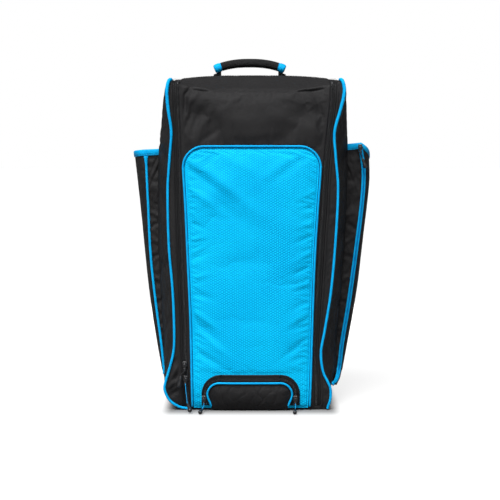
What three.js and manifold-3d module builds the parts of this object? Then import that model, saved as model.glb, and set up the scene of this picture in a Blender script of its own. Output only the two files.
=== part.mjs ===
// A wheeled duffel bag that stands upright on its base, in millimetres.
// +X is to the right as the bag is seen from the front, -Y is the front and +Z is up.
// The origin is on the floor under the middle of the base.
import * as THREE from "three";
import { LoftGeometry } from "three/addons/geometries/LoftGeometry.js";
import { RoundedBoxGeometry } from "three/addons/geometries/RoundedBoxGeometry.js";
import { mergeVertices } from "three/addons/utils/BufferGeometryUtils.js";
import Module from "manifold-3d";

const wasm = await Module();
wasm.setup();

// Driving dimensions.
const CLOTH = 2.2; // a wall of coated cloth with its foam backing
const SEAM_GAP = 0.6; // clearance between pieces that are sewn side by side
const BODY_DEPTH = 300; // from the front edge to the back panel
const FRONT_Y = -BODY_DEPTH / 2;
const BACK_Y = BODY_DEPTH / 2;
const BODY_TOP = 811.5; // crown of the top panel
const RIM_Z = 800; // where the walls turn over into the top panel
const BACK_CORNER = 45; // radius of the back's upright corners
const FLARE_SHARE = 0.36; // how much of the depth the walls take to flare from the front edge
const TOP_DROP = 34; // how far the front's top edge sags between its corners
const SAG_HEIGHT = 120; // how far down the front that sag fades out
const PIPING_RADIUS = 2.4;
const ZIP_HALF = 8; // half of the main zip's visible tape
const ZIP_TOP_Y = -20; // where the main zip crosses the top panel
const LID_BOTTOM = 10;
const PANEL_BOTTOM = 6;
const PANEL_TOP = 630;
const PANEL_CORNER = 58;
const PANEL_PUFF = 9; // how far the padded front panel stands proud
const POCKET_PUFF = 6;
const SLEEVE_FRONT = -50; // the side sleeves are sewn on between these two depths
const SLEEVE_WIDEST = 18;
const SLEEVE_BACK = 88;
const SLEEVE_ZIP_RADIUS = 4; // half of the right sleeve's raised zip
const SLEEVE_ZIP_STEP = 2.8; // how far that zip steps out to run over the binding
const BINDING_HEIGHT = 14;
const HANDLE_Y = 20;
const HANDLE_HALF = 92;
const HANDLE_Z = 848.5;
const HANDLE_BOW = 14; // how far the handle's ends are below its middle
const GRIP_RADIUS = 10.5;
const BAND_RADIUS = GRIP_RADIUS + 0.6;
const STRAP_X = 83; // where the webbing under each end of the handle is sewn on
const WHEEL_RADIUS = 36;
const WHEEL_WIDTH = 26;
const WHEEL_X = 146;
const WHEEL_Y = 138;
const WHEEL_Z = WHEEL_RADIUS + 0.5; // the wheels clear the floor while the bag stands
const AXLE_RADIUS = 4;
const BEFORE_FRONT = FRONT_Y - 100; // clear in front of everything
const ABOVE_TOP = 900; // clear above everything
const BELOW_BASE = -20; // clear below everything

const BLACK_CLOTH = { color: 0x242427, roughness: 0.78, metalness: 0 };
const BLUE_CLOTH = { color: 0x02b4f2, roughness: 0.7, metalness: 0 };
const BLUE_TRIM = { color: 0x04a9ea, roughness: 0.55, metalness: 0 };
const BLACK_ZIP = { color: 0x161618, roughness: 0.6, metalness: 0 };
const BLACK_PLASTIC = { color: 0x1b1b1d, roughness: 0.5, metalness: 0 };
const DARK_METAL = { color: 0x2a2a2c, roughness: 0.4, metalness: 0.8 };
const GREY_RUBBER = { color: 0x2e2e30, roughness: 0.85, metalness: 0 };

/** Makes a smooth function of the first column for each named column of a table. */
function profiles(columns, rows) {
  const at = rows.map((row) => row[0]);
  const last = rows.length - 1;
  const curve = (c) => (x) => {
    const t = THREE.MathUtils.clamp(x, at[0], at[last]);
    let i = 0;
    while (i < last - 1 && t > at[i + 1]) i += 1;
    const slope = (k) => {
      const before = Math.max(k - 1, 0);
      const after = Math.min(k + 1, last);
      return (rows[after][c] - rows[before][c]) / (at[after] - at[before]);
    };
    const span = at[i + 1] - at[i];
    const s = (t - at[i]) / span;
    const bow = s * s * (3 - 2 * s);
    const leave = s * (1 - s) * (1 - s) * span * slope(i);
    const arrive = s * s * (s - 1) * span * slope(i + 1);
    return rows[i][c] + (rows[i + 1][c] - rows[i][c]) * bow + leave + arrive;
  };
  return Object.fromEntries(columns.map((name, c) => [name, curve(c)]));
}

// The body's level sections: the two front edges, the two side walls, the front edge's depth
// and how far the front face swells out between its edges.
const BODY = profiles(
  ["z", "frontLeft", "frontRight", "sideLeft", "sideRight", "frontY", "swell"],
  [
    [0, -158, 176, -176, 182, FRONT_Y + 8, 2],
    [18, -190, 190, -200, 203, FRONT_Y + 3, 4],
    [37, -204, 193, -211, 206, FRONT_Y + 1, 6],
    [58, -209, 191, -214, 208, FRONT_Y, 8],
    [95, -199, 174, -214, 210, FRONT_Y, 10],
    [143, -187, 169, -215, 212, FRONT_Y, 12],
    [191, -185, 177, -217, 215, FRONT_Y, 13],
    [287, -191, 192, -222, 222, FRONT_Y, 14],
    [402, -200, 203, -228, 230, FRONT_Y, 14],
    [536, -202, 210, -231, 236, FRONT_Y, 14],
    [613, -198, 204, -232, 240, FRONT_Y, 13],
    [671, -194, 201, -230, 241, FRONT_Y, 12],
    [728, -201, 216, -225, 240, FRONT_Y, 10],
    [776, -204, 225, -220, 240, FRONT_Y + 1, 8],
    [RIM_Z, -201, 222, -216, 236, FRONT_Y + 5, 6],
  ],
);

// The main zip's centre line on the front.
const ZIP = profiles(
  ["z", "left", "right"],
  [
    [0, -157, 161],
    [60, -157, 161],
    [143, -162, 157],
    [200, -162, 160],
    [287, -166, 170],
    [400, -170, 180],
    [500, -174, 186],
    [575, -178, 188],
    [640, -180, 191],
    [760, -181, 197],
    [900, -181, 199],
  ],
);

// The upright edges of the blue front panel.
const PANEL = profiles(
  ["z", "left", "right"],
  [
    [0, -138, 138],
    [52, -139, 140],
    [172, -141, 143],
    [248, -143, 145],
    [364, -148, 149],
    [488, -155, 156],
    [575, -161, 162],
    [640, -164, 165],
  ],
);

// Broad folds of the front face: where each one is, which way its crest leans from level,
// half of its length and width, and how far it stands out or, when negative, falls in.
const FRONT_FOLDS = [
  { x: -128, z: 716, lean: -38, length: 95, width: 34, height: -7 },
  { x: 138, z: 718, lean: 36, length: 95, width: 34, height: -7 },
  { x: 5, z: 690, lean: 0, length: 120, width: 40, height: 4 },
  { x: -96, z: 520, lean: 42, length: 80, width: 30, height: 4 },
  { x: 110, z: 300, lean: -35, length: 60, width: 34, height: -3 },
  { x: -118, z: 190, lean: 30, length: 60, width: 34, height: -3 },
].map((fold) => ({ ...fold, lean: THREE.MathUtils.degToRad(fold.lean) }));

// The low pocket's two arches: its zip's outer edge and its blue piping.
const POCKET_ARCH = { left: -119, right: 118, top: 90, corner: 48 };
const POCKET_INNER = { left: -104, right: 98, top: 69, corner: 28 };

// Each side sleeve's distance from the bag's middle at its front corner and at its widest,
// the height of its rim at four places around it, and how far in from the corner its blue
// line runs.
const SLEEVES = {
  left: {
    side: -1,
    wall: BODY.sideLeft,
    bottom: 64,
    rim: { front: 631, corner: 629, outer: 625, back: 622 },
    lineIn: 1.4,
    shape: profiles(
      ["z", "corner", "outer"],
      [
        [64, 217, 218],
        [89, 219, 227],
        [150, 225, 239],
        [251, 238, 254],
        [371, 250, 267],
        [507, 256, 279],
        [630, 261, 293],
      ],
    ),
  },
  right: {
    side: 1,
    wall: BODY.sideRight,
    bottom: 28,
    rim: { front: 641, corner: 646, outer: 620, back: 628 },
    lineIn: 6,
    shape: profiles(
      ["z", "corner", "outer"],
      [
        [28, 212, 214],
        [49, 219, 223],
        [89, 226, 233],
        [150, 233, 245],
        [251, 249, 262],
        [371, 265, 277],
        [507, 281, 291],
        [575, 284, 297],
        [615, 279, 297],
        [646, 272, 296],
      ],
    ),
  },
};

/** The solid of a closed geometry: shared vertices merged, empty triangles dropped. */
function solidOf(geometry) {
  const bare = new THREE.BufferGeometry();
  bare.setAttribute("position", geometry.getAttribute("position"));
  if (geometry.index) bare.setIndex(geometry.index);
  const merged = mergeVertices(bare, 1e-3);
  const corners = merged.index.array;
  const kept = [];
  for (let i = 0; i < corners.length; i += 3) {
    const [a, b, c] = corners.slice(i, i + 3);
    if (a !== b && b !== c && c !== a) kept.push(a, b, c);
  }
  return new wasm.Manifold(
    new wasm.Mesh({
      numProp: 3,
      vertProperties: merged.getAttribute("position").array,
      triVerts: new Uint32Array(kept),
    }),
  );
}

/** The geometry of a cut or joined solid. */
function geometryOf(solid) {
  const { vertProperties, triVerts } = solid.getMesh();
  const geometry = new THREE.BufferGeometry();
  geometry.setAttribute("position", new THREE.BufferAttribute(vertProperties, 3));
  geometry.setIndex(new THREE.BufferAttribute(triVerts, 1));
  geometry.computeVertexNormals();
  return geometry;
}

const loft = (sections) => new LoftGeometry(sections, { capStart: true, capEnd: true });
const smoothstep = THREE.MathUtils.smoothstep;
const lerp = THREE.MathUtils.lerp;

/** Evenly spaced numbers from first to last, both included. */
function spaced(first, last, steps) {
  return Array.from({ length: steps + 1 }, (_, i) => lerp(first, last, i / steps));
}

/** A prism that runs from front to back, with its outline given in X and Z. */
function prism(outline, front, back) {
  const geometry = new THREE.ExtrudeGeometry(new THREE.Shape(outline), {
    depth: back - front,
    bevelEnabled: false,
  });
  return solidOf(geometry.rotateX(Math.PI / 2).translate(0, back, 0));
}

/** A regular outline with a corner at every equal turn. */
function ringShape(radius, sides) {
  const turns = spaced(0, 2 * Math.PI, sides).slice(0, sides);
  return turns.map((t) => new THREE.Vector2(radius * Math.cos(t), radius * Math.sin(t)));
}

/** A round bar along a smooth path, in even steps. */
function tube(points, radius, steps, sides) {
  const path = new THREE.CatmullRomCurve3(points, false, "centripetal");
  const section = new THREE.Shape(ringShape(radius, sides));
  return new THREE.ExtrudeGeometry(section, { steps, extrudePath: path });
}

/** Piping with one ring at each point; facing is a direction the path never runs along. */
function piping(points, radius, facing) {
  const last = points.length - 1;
  const rings = points.map((point, i) => {
    const ahead = points[Math.min(i + 1, last)].clone().sub(point);
    const behind = point.clone().sub(points[Math.max(i - 1, 0)]);
    const along = ahead.normalize().add(behind.normalize()).normalize();
    const across = new THREE.Vector3().crossVectors(facing, along).normalize();
    const up = new THREE.Vector3().crossVectors(along, across);
    return ringShape(radius, 6).map((c) =>
      point.clone().addScaledVector(across, c.x).addScaledVector(up, c.y),
    );
  });
  return loft(rings);
}

// Main body.

/** A point of one side wall in plan: flare behind the front edge, flat wall, round back corner. */
function sidePoint(along, edgeX, edgeY, wallX, backY) {
  const toward = Math.sign(wallX);
  const [wallFrom, cornerFrom] = [1 / 2, 2 / 3];
  const flareEnd = lerp(edgeY, backY, FLARE_SHARE);
  if (along <= wallFrom) {
    const share = along / wallFrom;
    const x = edgeX + (wallX - edgeX) * Math.sin((Math.PI / 2) * share);
    return new THREE.Vector2(x, lerp(edgeY, flareEnd, share));
  }
  const cornerY = backY - BACK_CORNER;
  if (along <= cornerFrom) {
    const share = (along - wallFrom) / (cornerFrom - wallFrom);
    return new THREE.Vector2(wallX, lerp(flareEnd, cornerY, share));
  }
  const turn = (Math.PI / 2) * ((along - cornerFrom) / (1 - cornerFrom));
  const cornerX = wallX - toward * BACK_CORNER;
  return new THREE.Vector2(
    cornerX + toward * BACK_CORNER * Math.cos(turn),
    cornerY + BACK_CORNER * Math.sin(turn),
  );
}

/** How far the broad folds move the front face out at a place on it. */
function foldHeight(x, z) {
  return FRONT_FOLDS.reduce((sum, fold) => {
    const [dx, dz] = [x - fold.x, z - fold.z];
    const along = (dx * Math.cos(fold.lean) + dz * Math.sin(fold.lean)) / fold.length;
    const over = (dz * Math.cos(fold.lean) - dx * Math.sin(fold.lean)) / fold.width;
    return sum + fold.height * Math.exp(-(along ** 2) - over ** 2);
  }, 0);
}

/** The front face's depth at a place on it. */
function frontY(x, z) {
  const left = BODY.frontLeft(z);
  const across = THREE.MathUtils.clamp((x - left) / (BODY.frontRight(z) - left), 0, 1);
  const middle = 4 * across * (1 - across);
  return BODY.frontY(z) - (BODY.swell(z) + foldHeight(x, z)) * middle;
}

const FRONT_STEPS = 8;
const SIDE_STEPS = 6;
const BACK_STEPS = 2;

/** The body's plan outline at one height, counterclockwise from the front's left edge. */
function bodyOutline(z, inset) {
  const left = BODY.frontLeft(z) + inset;
  const right = BODY.frontRight(z) - inset;
  const edgeY = BODY.frontY(z) + inset;
  const wallLeft = BODY.sideLeft(z) + inset;
  const wallRight = BODY.sideRight(z) - inset;
  const backY = BACK_Y - inset;
  const front = spaced(left, right, FRONT_STEPS)
    .slice(0, FRONT_STEPS)
    .map((x) => new THREE.Vector2(x, frontY(x, z) + inset));
  const sides = spaced(0, 1, SIDE_STEPS);
  const rightSide = sides.map((s) => sidePoint(s, right, edgeY, wallRight, backY));
  const leftSide = sides.map((s) => sidePoint(s, left, edgeY, wallLeft, backY)).reverse();
  const backLeft = leftSide[0];
  const backRight = rightSide[SIDE_STEPS];
  const back = spaced(0, 1, BACK_STEPS)
    .slice(1, BACK_STEPS)
    .map((s) => backRight.clone().lerp(backLeft, s));
  return [...front, ...rightSide, ...back, ...leftSide.slice(0, SIDE_STEPS)];
}

/** How far the cloth sags below its level at a place near the front's top edge. */
function topSag(x, y, z) {
  const middle = (BODY.frontLeft(RIM_Z) + BODY.frontRight(RIM_Z)) / 2;
  const half = (BODY.frontRight(RIM_Z) - BODY.frontLeft(RIM_Z)) / 2;
  const across = THREE.MathUtils.clamp((x - middle) / half, -1, 1);
  const toFront = 1 - smoothstep(y, FRONT_Y, ZIP_TOP_Y - ZIP_HALF);
  return TOP_DROP * (1 - across ** 4) * toFront * smoothstep(z, RIM_Z - SAG_HEIGHT, RIM_Z);
}

// Levels of the body's rings, and how far each is drawn in towards the middle.
const BODY_LEVELS = [0, 9, 20, 37, 58, 95, 143, 191, 287, 402, 536, 613, 671, 728, 764, RIM_Z]
  .map((z) => ({ z, level: z, drawn: 1 }))
  .concat([
    { z: 806.5, level: RIM_Z, drawn: 0.965 },
    { z: 809.5, level: RIM_Z, drawn: 0.86 },
    { z: BODY_TOP, level: RIM_Z, drawn: 0.4 },
  ]);

/** The body as a solid, drawn in all round by an inset or grown by a negative one. */
function bodySolid(inset) {
  const squeeze = (BODY_TOP - 2 * inset) / BODY_TOP;
  const sections = BODY_LEVELS.map(({ z, level, drawn }) =>
    bodyOutline(level, inset).map((p) => {
      const x = p.x * drawn;
      const y = p.y * drawn;
      return new THREE.Vector3(x, y, inset + (z - topSag(x, y, z)) * squeeze);
    }),
  );
  return solidOf(loft(sections));
}

const bodyOuter = bodySolid(0);
const bodyClear = bodySolid(-SEAM_GAP);
const bodyWall = bodyOuter.subtract(bodySolid(CLOTH));

/** The main zip's line on the front from the lid's hem to above the top, grown by an offset. */
function zipOutline(offset, bottom) {
  const heights = [...spaced(bottom, RIM_Z - 100, 8), ABOVE_TOP];
  const left = heights.map((z) => new THREE.Vector2(ZIP.left(z) - offset, z));
  const right = heights.map((z) => new THREE.Vector2(ZIP.right(z) + offset, z)).reverse();
  return [...left, ...right];
}

/** A prism that takes in the front and the top panel as far back as the main zip. */
function lidPrism(offset, bottom) {
  return prism(zipOutline(offset, bottom), BEFORE_FRONT, ZIP_TOP_Y + offset);
}

const zipOuter = lidPrism(ZIP_HALF, LID_BOTTOM);
const zipTape = lidPrism(ZIP_HALF - SEAM_GAP, LID_BOTTOM + SEAM_GAP);
const zipInner = lidPrism(-ZIP_HALF, LID_BOTTOM - SEAM_GAP);
const lidInner = lidPrism(-ZIP_HALF - SEAM_GAP, LID_BOTTOM + SEAM_GAP);

// Wheels and their housings at the back's lower corners.

/** A wheel housing: a moulded block with a well that opens down and back, and its axle. */
function wheelHousing(x, grow, bottom) {
  const [front, back, top] = [94, 154, 96];
  const [segments, roundness] = [1, 8];
  const width = WHEEL_WIDTH + 22 + 2 * grow;
  const depth = back - front + 2 * grow;
  const height = top + grow - bottom;
  const block = new RoundedBoxGeometry(width, depth, height, segments, roundness);
  return solidOf(block.translate(x, (front + back) / 2, bottom + height / 2));
}

/** A drum along X, round the wheel's axle. */
function drum(x, radius, width, sides = 20) {
  const geometry = new THREE.CylinderGeometry(radius, radius, width, sides);
  return solidOf(geometry.rotateZ(Math.PI / 2).translate(x, WHEEL_Y, WHEEL_Z));
}

function housingWithAxle(x) {
  const [wellGap, axleHeld, floorGap] = [4, 5, 1];
  const well = drum(x, WHEEL_RADIUS + wellGap, WHEEL_WIDTH + wellGap);
  const axle = drum(x, AXLE_RADIUS, WHEEL_WIDTH + 2 * axleHeld, 12);
  return wheelHousing(x, 0, floorGap).subtract(well).add(axle);
}

/** A wheel with a rounded tread, dished sides and a bore that runs on the axle. */
function wheelGeometry(x) {
  const half = WHEEL_WIDTH / 2;
  const bore = AXLE_RADIUS + 0.5;
  const [hub, dishFrom, dishTo, rim] = [12, 17, 27, 30];
  const dished = half - 5;
  const profile = [
    [bore, -half],
    [hub, -half],
    [dishFrom, -dished],
    [dishTo, -dished],
    [rim, -half],
    [WHEEL_RADIUS, -dished],
    [WHEEL_RADIUS, dished],
    [rim, half],
    [dishTo, dished],
    [dishFrom, dished],
    [hub, half],
    [bore, half],
    [bore, -half],
  ].map(([r, h]) => new THREE.Vector2(r, h));
  const geometry = new THREE.LatheGeometry(profile, 16);
  return geometry.rotateZ(Math.PI / 2).translate(x, WHEEL_Y, WHEEL_Z);
}

const housingClear = wheelHousing(-WHEEL_X, SEAM_GAP, BELOW_BASE).add(
  wheelHousing(WHEEL_X, SEAM_GAP, BELOW_BASE),
);

// Front panel and its low pocket.

/** An arch from its left foot over to its right foot, with an upright line on each side. */
function arch({ left, right, top, corner }, offset, bottom) {
  const turns = spaced(0, Math.PI / 2, 5);
  const radius = corner + offset;
  const leftTurn = turns.map(
    (t) =>
      new THREE.Vector2(
        left - offset + radius * (1 - Math.cos(t)),
        top + offset - radius * (1 - Math.sin(t)),
      ),
  );
  const rightTurn = turns
    .map(
      (t) =>
        new THREE.Vector2(
          right + offset - radius * (1 - Math.cos(t)),
          top + offset - radius * (1 - Math.sin(t)),
        ),
    )
    .reverse();
  const foot = (x) => new THREE.Vector2(x, bottom);
  const level = spaced(0, 1, 4)
    .slice(1, 4)
    .map((s) => leftTurn[5].clone().lerp(rightTurn[0], s));
  return [foot(left - offset), ...leftTurn, ...level, ...rightTurn, foot(right + offset)];
}

/** The panel's edge from its lower left round the top to its lower right. */
function panelEdge(offset, bottom) {
  const shoulder = PANEL_TOP - PANEL_CORNER;
  const levels = BODY_LEVELS.map(({ z }) => z).filter((z) => z > bottom + 5);
  const heights = [bottom, ...levels.filter((z) => z < shoulder - 20)];
  const corners = { left: PANEL.left(shoulder), right: PANEL.right(shoulder) };
  const over = arch({ ...corners, top: PANEL_TOP, corner: PANEL_CORNER }, offset, bottom);
  const left = heights.map((z) => new THREE.Vector2(PANEL.left(z) - offset, z));
  const right = heights.map((z) => new THREE.Vector2(PANEL.right(z) + offset, z)).reverse();
  return [...left, ...over.slice(1, -1), ...right];
}

/** How far the front panel's cloth stands off the lid. */
function panelLift(x, z) {
  const across = THREE.MathUtils.clamp(x / PANEL.right(z), -1, 1);
  const up = THREE.MathUtils.clamp((2 * z) / PANEL_TOP - 1, -1, 1);
  const swell = PANEL_PUFF * (1 - across ** 4) * (1 - up ** 6);
  const inPocket = Math.max(0, 1 - (x / 105) ** 4) * Math.max(0, 1 - (z / 78) ** 3);
  return 2 * SEAM_GAP + CLOTH + swell + POCKET_PUFF * inPocket;
}

const panelFaceY = (x, z) => frontY(x, z) - panelLift(x, z);

/** The whole layer of cloth that the panel, the pocket and its zip are cut from. */
function panelLayer() {
  const heights = [0, 16, 34, 52, 68, 82, 98, 130, ...spaced(180, 600, 7), 622, 640];
  const across = spaced(-1, 1, 10);
  const sections = heights.map((z) => {
    const half = PANEL.right(z) + 8;
    const face = across.map((s) => new THREE.Vector3(s * half, panelFaceY(s * half, z), z));
    const rear = face.map((p) => p.clone().setY(p.y + CLOTH)).reverse();
    return [...face, ...rear];
  });
  return solidOf(loft(sections));
}

const layer = panelLayer();
const reach = [BEFORE_FRONT, FRONT_Y + 60];
const frontPanel = layer
  .intersect(prism(panelEdge(0, PANEL_BOTTOM), ...reach))
  .subtract(prism(arch(POCKET_ARCH, SEAM_GAP, BELOW_BASE), ...reach));
const pocketZip = layer
  .intersect(prism(arch(POCKET_ARCH, 0, PANEL_BOTTOM), ...reach))
  .subtract(prism(arch(POCKET_INNER, SEAM_GAP, BELOW_BASE), ...reach));
const pocketFront = layer.intersect(prism(arch(POCKET_INNER, 0, PANEL_BOTTOM), ...reach));

/** Piping laid on a face along an edge that is given in X and Z. */
function pipingOn(edge, faceY) {
  const stand = PIPING_RADIUS + 4 * SEAM_GAP;
  const points = edge.map((p) => new THREE.Vector3(p.x, faceY(p.x, p.y) - stand, p.y));
  return piping(points, PIPING_RADIUS, new THREE.Vector3(0, -1, 0));
}

/** Piping round one side of the body: along the base, up the front edge, back along the top. */
function sidePiping(edge, wall, side) {
  const stand = PIPING_RADIUS + 2 * SEAM_GAP;
  const low = PIPING_RADIUS + SEAM_GAP;
  const foot = new THREE.Vector3(edge(0) - side * 8, BODY.frontY(0) - 1.4 * stand, low);
  const rising = BODY_LEVELS.filter(({ z }) => z > 15 && z < RIM_Z - 10).map(({ z }) => {
    const slope = (edge(z + 2) - edge(z - 2)) / 4;
    const outward = stand / Math.hypot(1, slope);
    const x = edge(z) + 0.9 * side * outward;
    return new THREE.Vector3(x, BODY.frontY(z) - 0.8 * stand, z - side * slope * outward);
  });
  const backward = [0.08, 0.2, 0.35, 0.5, 0.6].map((s) => {
    const p = sidePoint(s, edge(RIM_Z), BODY.frontY(RIM_Z), wall(RIM_Z), BACK_Y);
    return new THREE.Vector3(p.x + 0.7 * side * stand, p.y, RIM_Z + 0.8 * stand);
  });
  const facing = new THREE.Vector3(side, -1, 0.3).normalize();
  return piping([foot, ...rising, ...backward], PIPING_RADIUS, facing);
}

// Open sleeves on the two sides.

/** A sleeve's plan outline at one height, grown by an offset, with the rim's height beside it. */
function sleeveOutline({ side, wall, shape, rim }, z, grow) {
  const inner = Math.abs(wall(z)) - 14;
  const corner = shape.corner(z) + grow;
  const outer = shape.outer(z) + grow;
  const front = SLEEVE_FRONT - grow;
  const back = SLEEVE_BACK + grow;
  const quarter = spaced(0, Math.PI / 2, 4);
  const face = spaced(0, 1, 2).map((s) => ({
    x: lerp(inner, corner, s),
    y: front,
    rim: lerp(rim.front, rim.corner, s),
  }));
  const bend = quarter.slice(1).map((t) => ({
    x: corner + (outer - corner) * Math.sin(t),
    y: SLEEVE_WIDEST + (front - SLEEVE_WIDEST) * Math.cos(t),
    rim: lerp(rim.corner, rim.outer, Math.sin(t)),
  }));
  const rear = quarter.slice(1).map((t) => ({
    x: inner + (outer - inner) * Math.cos(t),
    y: SLEEVE_WIDEST + (back - SLEEVE_WIDEST) * Math.sin(t),
    rim: lerp(rim.outer, rim.back, Math.sin(t)),
  }));
  const outline = [...face, ...bend, ...rear].map((p) => ({ ...p, x: side * p.x }));
  return side > 0 ? outline : outline.reverse();
}

/** A sleeve's form through sections at some shares of its height, grown by an offset. */
function sleeveSolid(sleeve, grow, shares, lift = 0) {
  const sections = shares.map((share) => {
    const z = lerp(sleeve.bottom, sleeve.rim.corner, Math.min(share, 1));
    return sleeveOutline(sleeve, z, grow).map(
      (p) => new THREE.Vector3(p.x, p.y, lerp(sleeve.bottom, p.rim, share) + lift),
    );
  });
  return solidOf(loft(sections));
}

const shareAt = (sleeve, z) => (z - sleeve.bottom) / (sleeve.rim.corner - sleeve.bottom);

/** A sleeve with an open top; its hollow starts at the second section. */
function sleeveWall(sleeve) {
  const shares = [0, 0.05, 0.12, 0.22, 0.36, 0.52, 0.68, 0.84, 1];
  return sleeveSolid(sleeve, 0, shares)
    .subtract(sleeveSolid(sleeve, -CLOTH, [...shares.slice(1), 1.1]))
    .subtract(bodyClear);
}

/** The blue binding that is folded over a sleeve's rim, outside the wall. */
function sleeveBinding(sleeve) {
  const from = shareAt(sleeve, sleeve.rim.corner - BINDING_HEIGHT);
  const outside = sleeveSolid(sleeve, SEAM_GAP + 1.6, [from, 1], 1.5);
  const inside = sleeveSolid(sleeve, SEAM_GAP, [from - 0.02, 1, 1.1]);
  return outside.subtract(inside).subtract(bodyClear);
}

/** A blue strip down a sleeve's front corner to its foot; step lifts its top over the binding. */
function sleeveStrip(sleeve, radius, top, step) {
  const stand = radius + SEAM_GAP;
  const under = sleeve.rim.corner - 2 * BINDING_HEIGHT;
  const heights = [top, under + 8, ...spaced(under - 6, sleeve.bottom + 8, 9)];
  const points = heights.map((z) => {
    const clear = Math.abs(sleeve.wall(z)) + stand;
    const x = Math.max(sleeve.shape.corner(z) - sleeve.lineIn, clear);
    const out = stand + step * smoothstep(z, under - 6, under + 8);
    return new THREE.Vector3(sleeve.side * x, SLEEVE_FRONT - out, z);
  });
  return piping(points, radius, new THREE.Vector3(0, -1, 0));
}

// Carrying handle on the top panel.

const gripCurve = (x) => HANDLE_Z - HANDLE_BOW * Math.abs(x / HANDLE_HALF) ** 3;

function gripStretch(from, to, radius, steps) {
  const points = spaced(from, to, 40).map((x) => new THREE.Vector3(x, HANDLE_Y, gripCurve(x)));
  return tube(points, radius, steps, 10);
}

/** Webbing from under the grip's end down to a tab that is sewn flat to the top panel. */
function handleStrap(side) {
  const [width, thick] = [19, 3];
  const tabZ = BODY_TOP + SEAM_GAP + thick / 2 + 0.4;
  const edges = [-width / 2, width / 2].map((across) => side * STRAP_X + across);
  // How far back each section is, its share of the way up to the band, and its lean in degrees.
  const sections = [
    [0, 1, 0],
    [0.3, 0.62, 8],
    [1.8, 0.26, 38],
    [5, 0.06, 72],
    [10, 0, 90],
    [32, 0, 90],
  ].map(([back, rise, lean]) => {
    const turn = THREE.MathUtils.degToRad(lean);
    const corner = (x, out) => {
      const underBand = gripCurve(x) - BAND_RADIUS - 2 * SEAM_GAP;
      const y = HANDLE_Y + back + out * Math.cos(turn);
      return new THREE.Vector3(x, y, lerp(tabZ, underBand, rise) + out * Math.sin(turn));
    };
    const behind = edges.map((x) => corner(x, thick / 2));
    const before = edges.map((x) => corner(x, -thick / 2)).reverse();
    return [...behind, ...before];
  });
  return loft(sections);
}

// Zip sliders and their pulls.

const SHOE = { width: 9, depth: 4.4, height: 15 };
const TAB_LENGTH = 17;
const EYE_DROP = TAB_LENGTH - 6; // from a slider's middle down to its tab's eye
const TAB_STAND = 8; // from the zip's face out to the tab
const CORD_RADIUS = 0.9;
const LOOP_RADIUS = 3.6; // of the cord's bend through the eye, two of its diameters

// Each slider's place, which face it runs on, and its pull end's neck and foot measured from
// the tab's eye: to the right, out from the bag and down.
const PULLS = {
  main_upper: { x: -160, z: 112, face: frontY, neck: [-9, 2, 16], foot: [-14, 3, 42] },
  main_lower: { x: -158, z: 78, face: frontY, neck: [6, 10, 47], foot: [13, 33, 60.5] },
  pocket_left: { x: -113.5, z: 30, face: panelFaceY, neck: [-4, 15, 11], foot: [-8, 40, 13] },
  pocket_right: { x: 107, z: 30, face: panelFaceY, neck: [-1, 15, 11], foot: [-3, 40, 13] },
  sleeve_right: { x: 268, z: 635, face: sleeveZipY, neck: [5, 1, 16], foot: [13, 2, 39] },
};

/** The depth of the right sleeve's zip where it runs over the binding. */
function sleeveZipY() {
  return SLEEVE_FRONT - 2 * SLEEVE_ZIP_RADIUS - SEAM_GAP - SLEEVE_ZIP_STEP;
}

/** The depth of a slider's back: clear of the cloth under the whole of its shoe. */
function sliderY({ x, z, face }) {
  const [halfWidth, halfHeight] = [(SHOE.width + 1) / 2, (SHOE.height + 1) / 2];
  const corners = [-halfWidth, halfWidth].flatMap((right) =>
    [-halfHeight, halfHeight].map((up) => face(x + right, z + up)),
  );
  return Math.min(...corners) - 2 * SEAM_GAP;
}

/** A zip's slider with a flat tab in front of it and an eye at the tab's end. */
function zipSlider(pull) {
  const { x, z } = pull;
  const y = sliderY(pull);
  const shoe = new THREE.BoxGeometry(SHOE.width, SHOE.depth, SHOE.height);
  shoe.translate(x, y - SHOE.depth / 2, z);
  const bridge = new THREE.BoxGeometry(4, TAB_STAND - 2.5, 8);
  bridge.translate(x, y - TAB_STAND / 2 - 1, z);
  const tab = new THREE.BoxGeometry(6.4, 1.8, TAB_LENGTH);
  tab.translate(x, y - TAB_STAND, z + 3 - TAB_LENGTH / 2);
  const eye = new THREE.CylinderGeometry(2.2, 2.2, 8, 8);
  eye.translate(x, y - TAB_STAND, z - EYE_DROP);
  return solidOf(shoe).add(solidOf(bridge)).add(solidOf(tab)).subtract(solidOf(eye));
}

/** Where a slider's eye is, and its pull end's neck and foot. */
function pullPoints(pull) {
  const { x, z, neck, foot } = pull;
  const eye = new THREE.Vector3(x, sliderY(pull) - TAB_STAND, z - EYE_DROP);
  const from = ([right, out, down]) => eye.clone().add(new THREE.Vector3(right, -out, -down));
  return { eye, neck: from(neck), foot: from(foot) };
}

/** A cord that loops through a slider's eye, with both of its ends in the pull's neck. */
function pullCord(pull) {
  const { eye, neck, foot } = pullPoints(pull);
  const along = foot.clone().sub(neck).normalize();
  const apart = new THREE.Vector3(1, 0, 0).cross(along).normalize();
  const strand = (side) => [
    eye.clone().add(new THREE.Vector3(0, 2.55 * side, -0.45)),
    eye.clone().add(new THREE.Vector3(0, LOOP_RADIUS * side, 0.6 - LOOP_RADIUS)),
    neck.clone().addScaledVector(along, -6).addScaledVector(apart, 2 * side),
    neck.clone().addScaledVector(along, -0.8).addScaledVector(apart, 1.4 * side),
  ];
  const top = eye.clone().add(new THREE.Vector3(0, 0, 0.6));
  const steps = Math.round((2 * neck.distanceTo(eye)) / (5 * CORD_RADIUS)) + 5;
  return tube([...strand(1).reverse(), top, ...strand(-1)], CORD_RADIUS, steps, 8);
}

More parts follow.
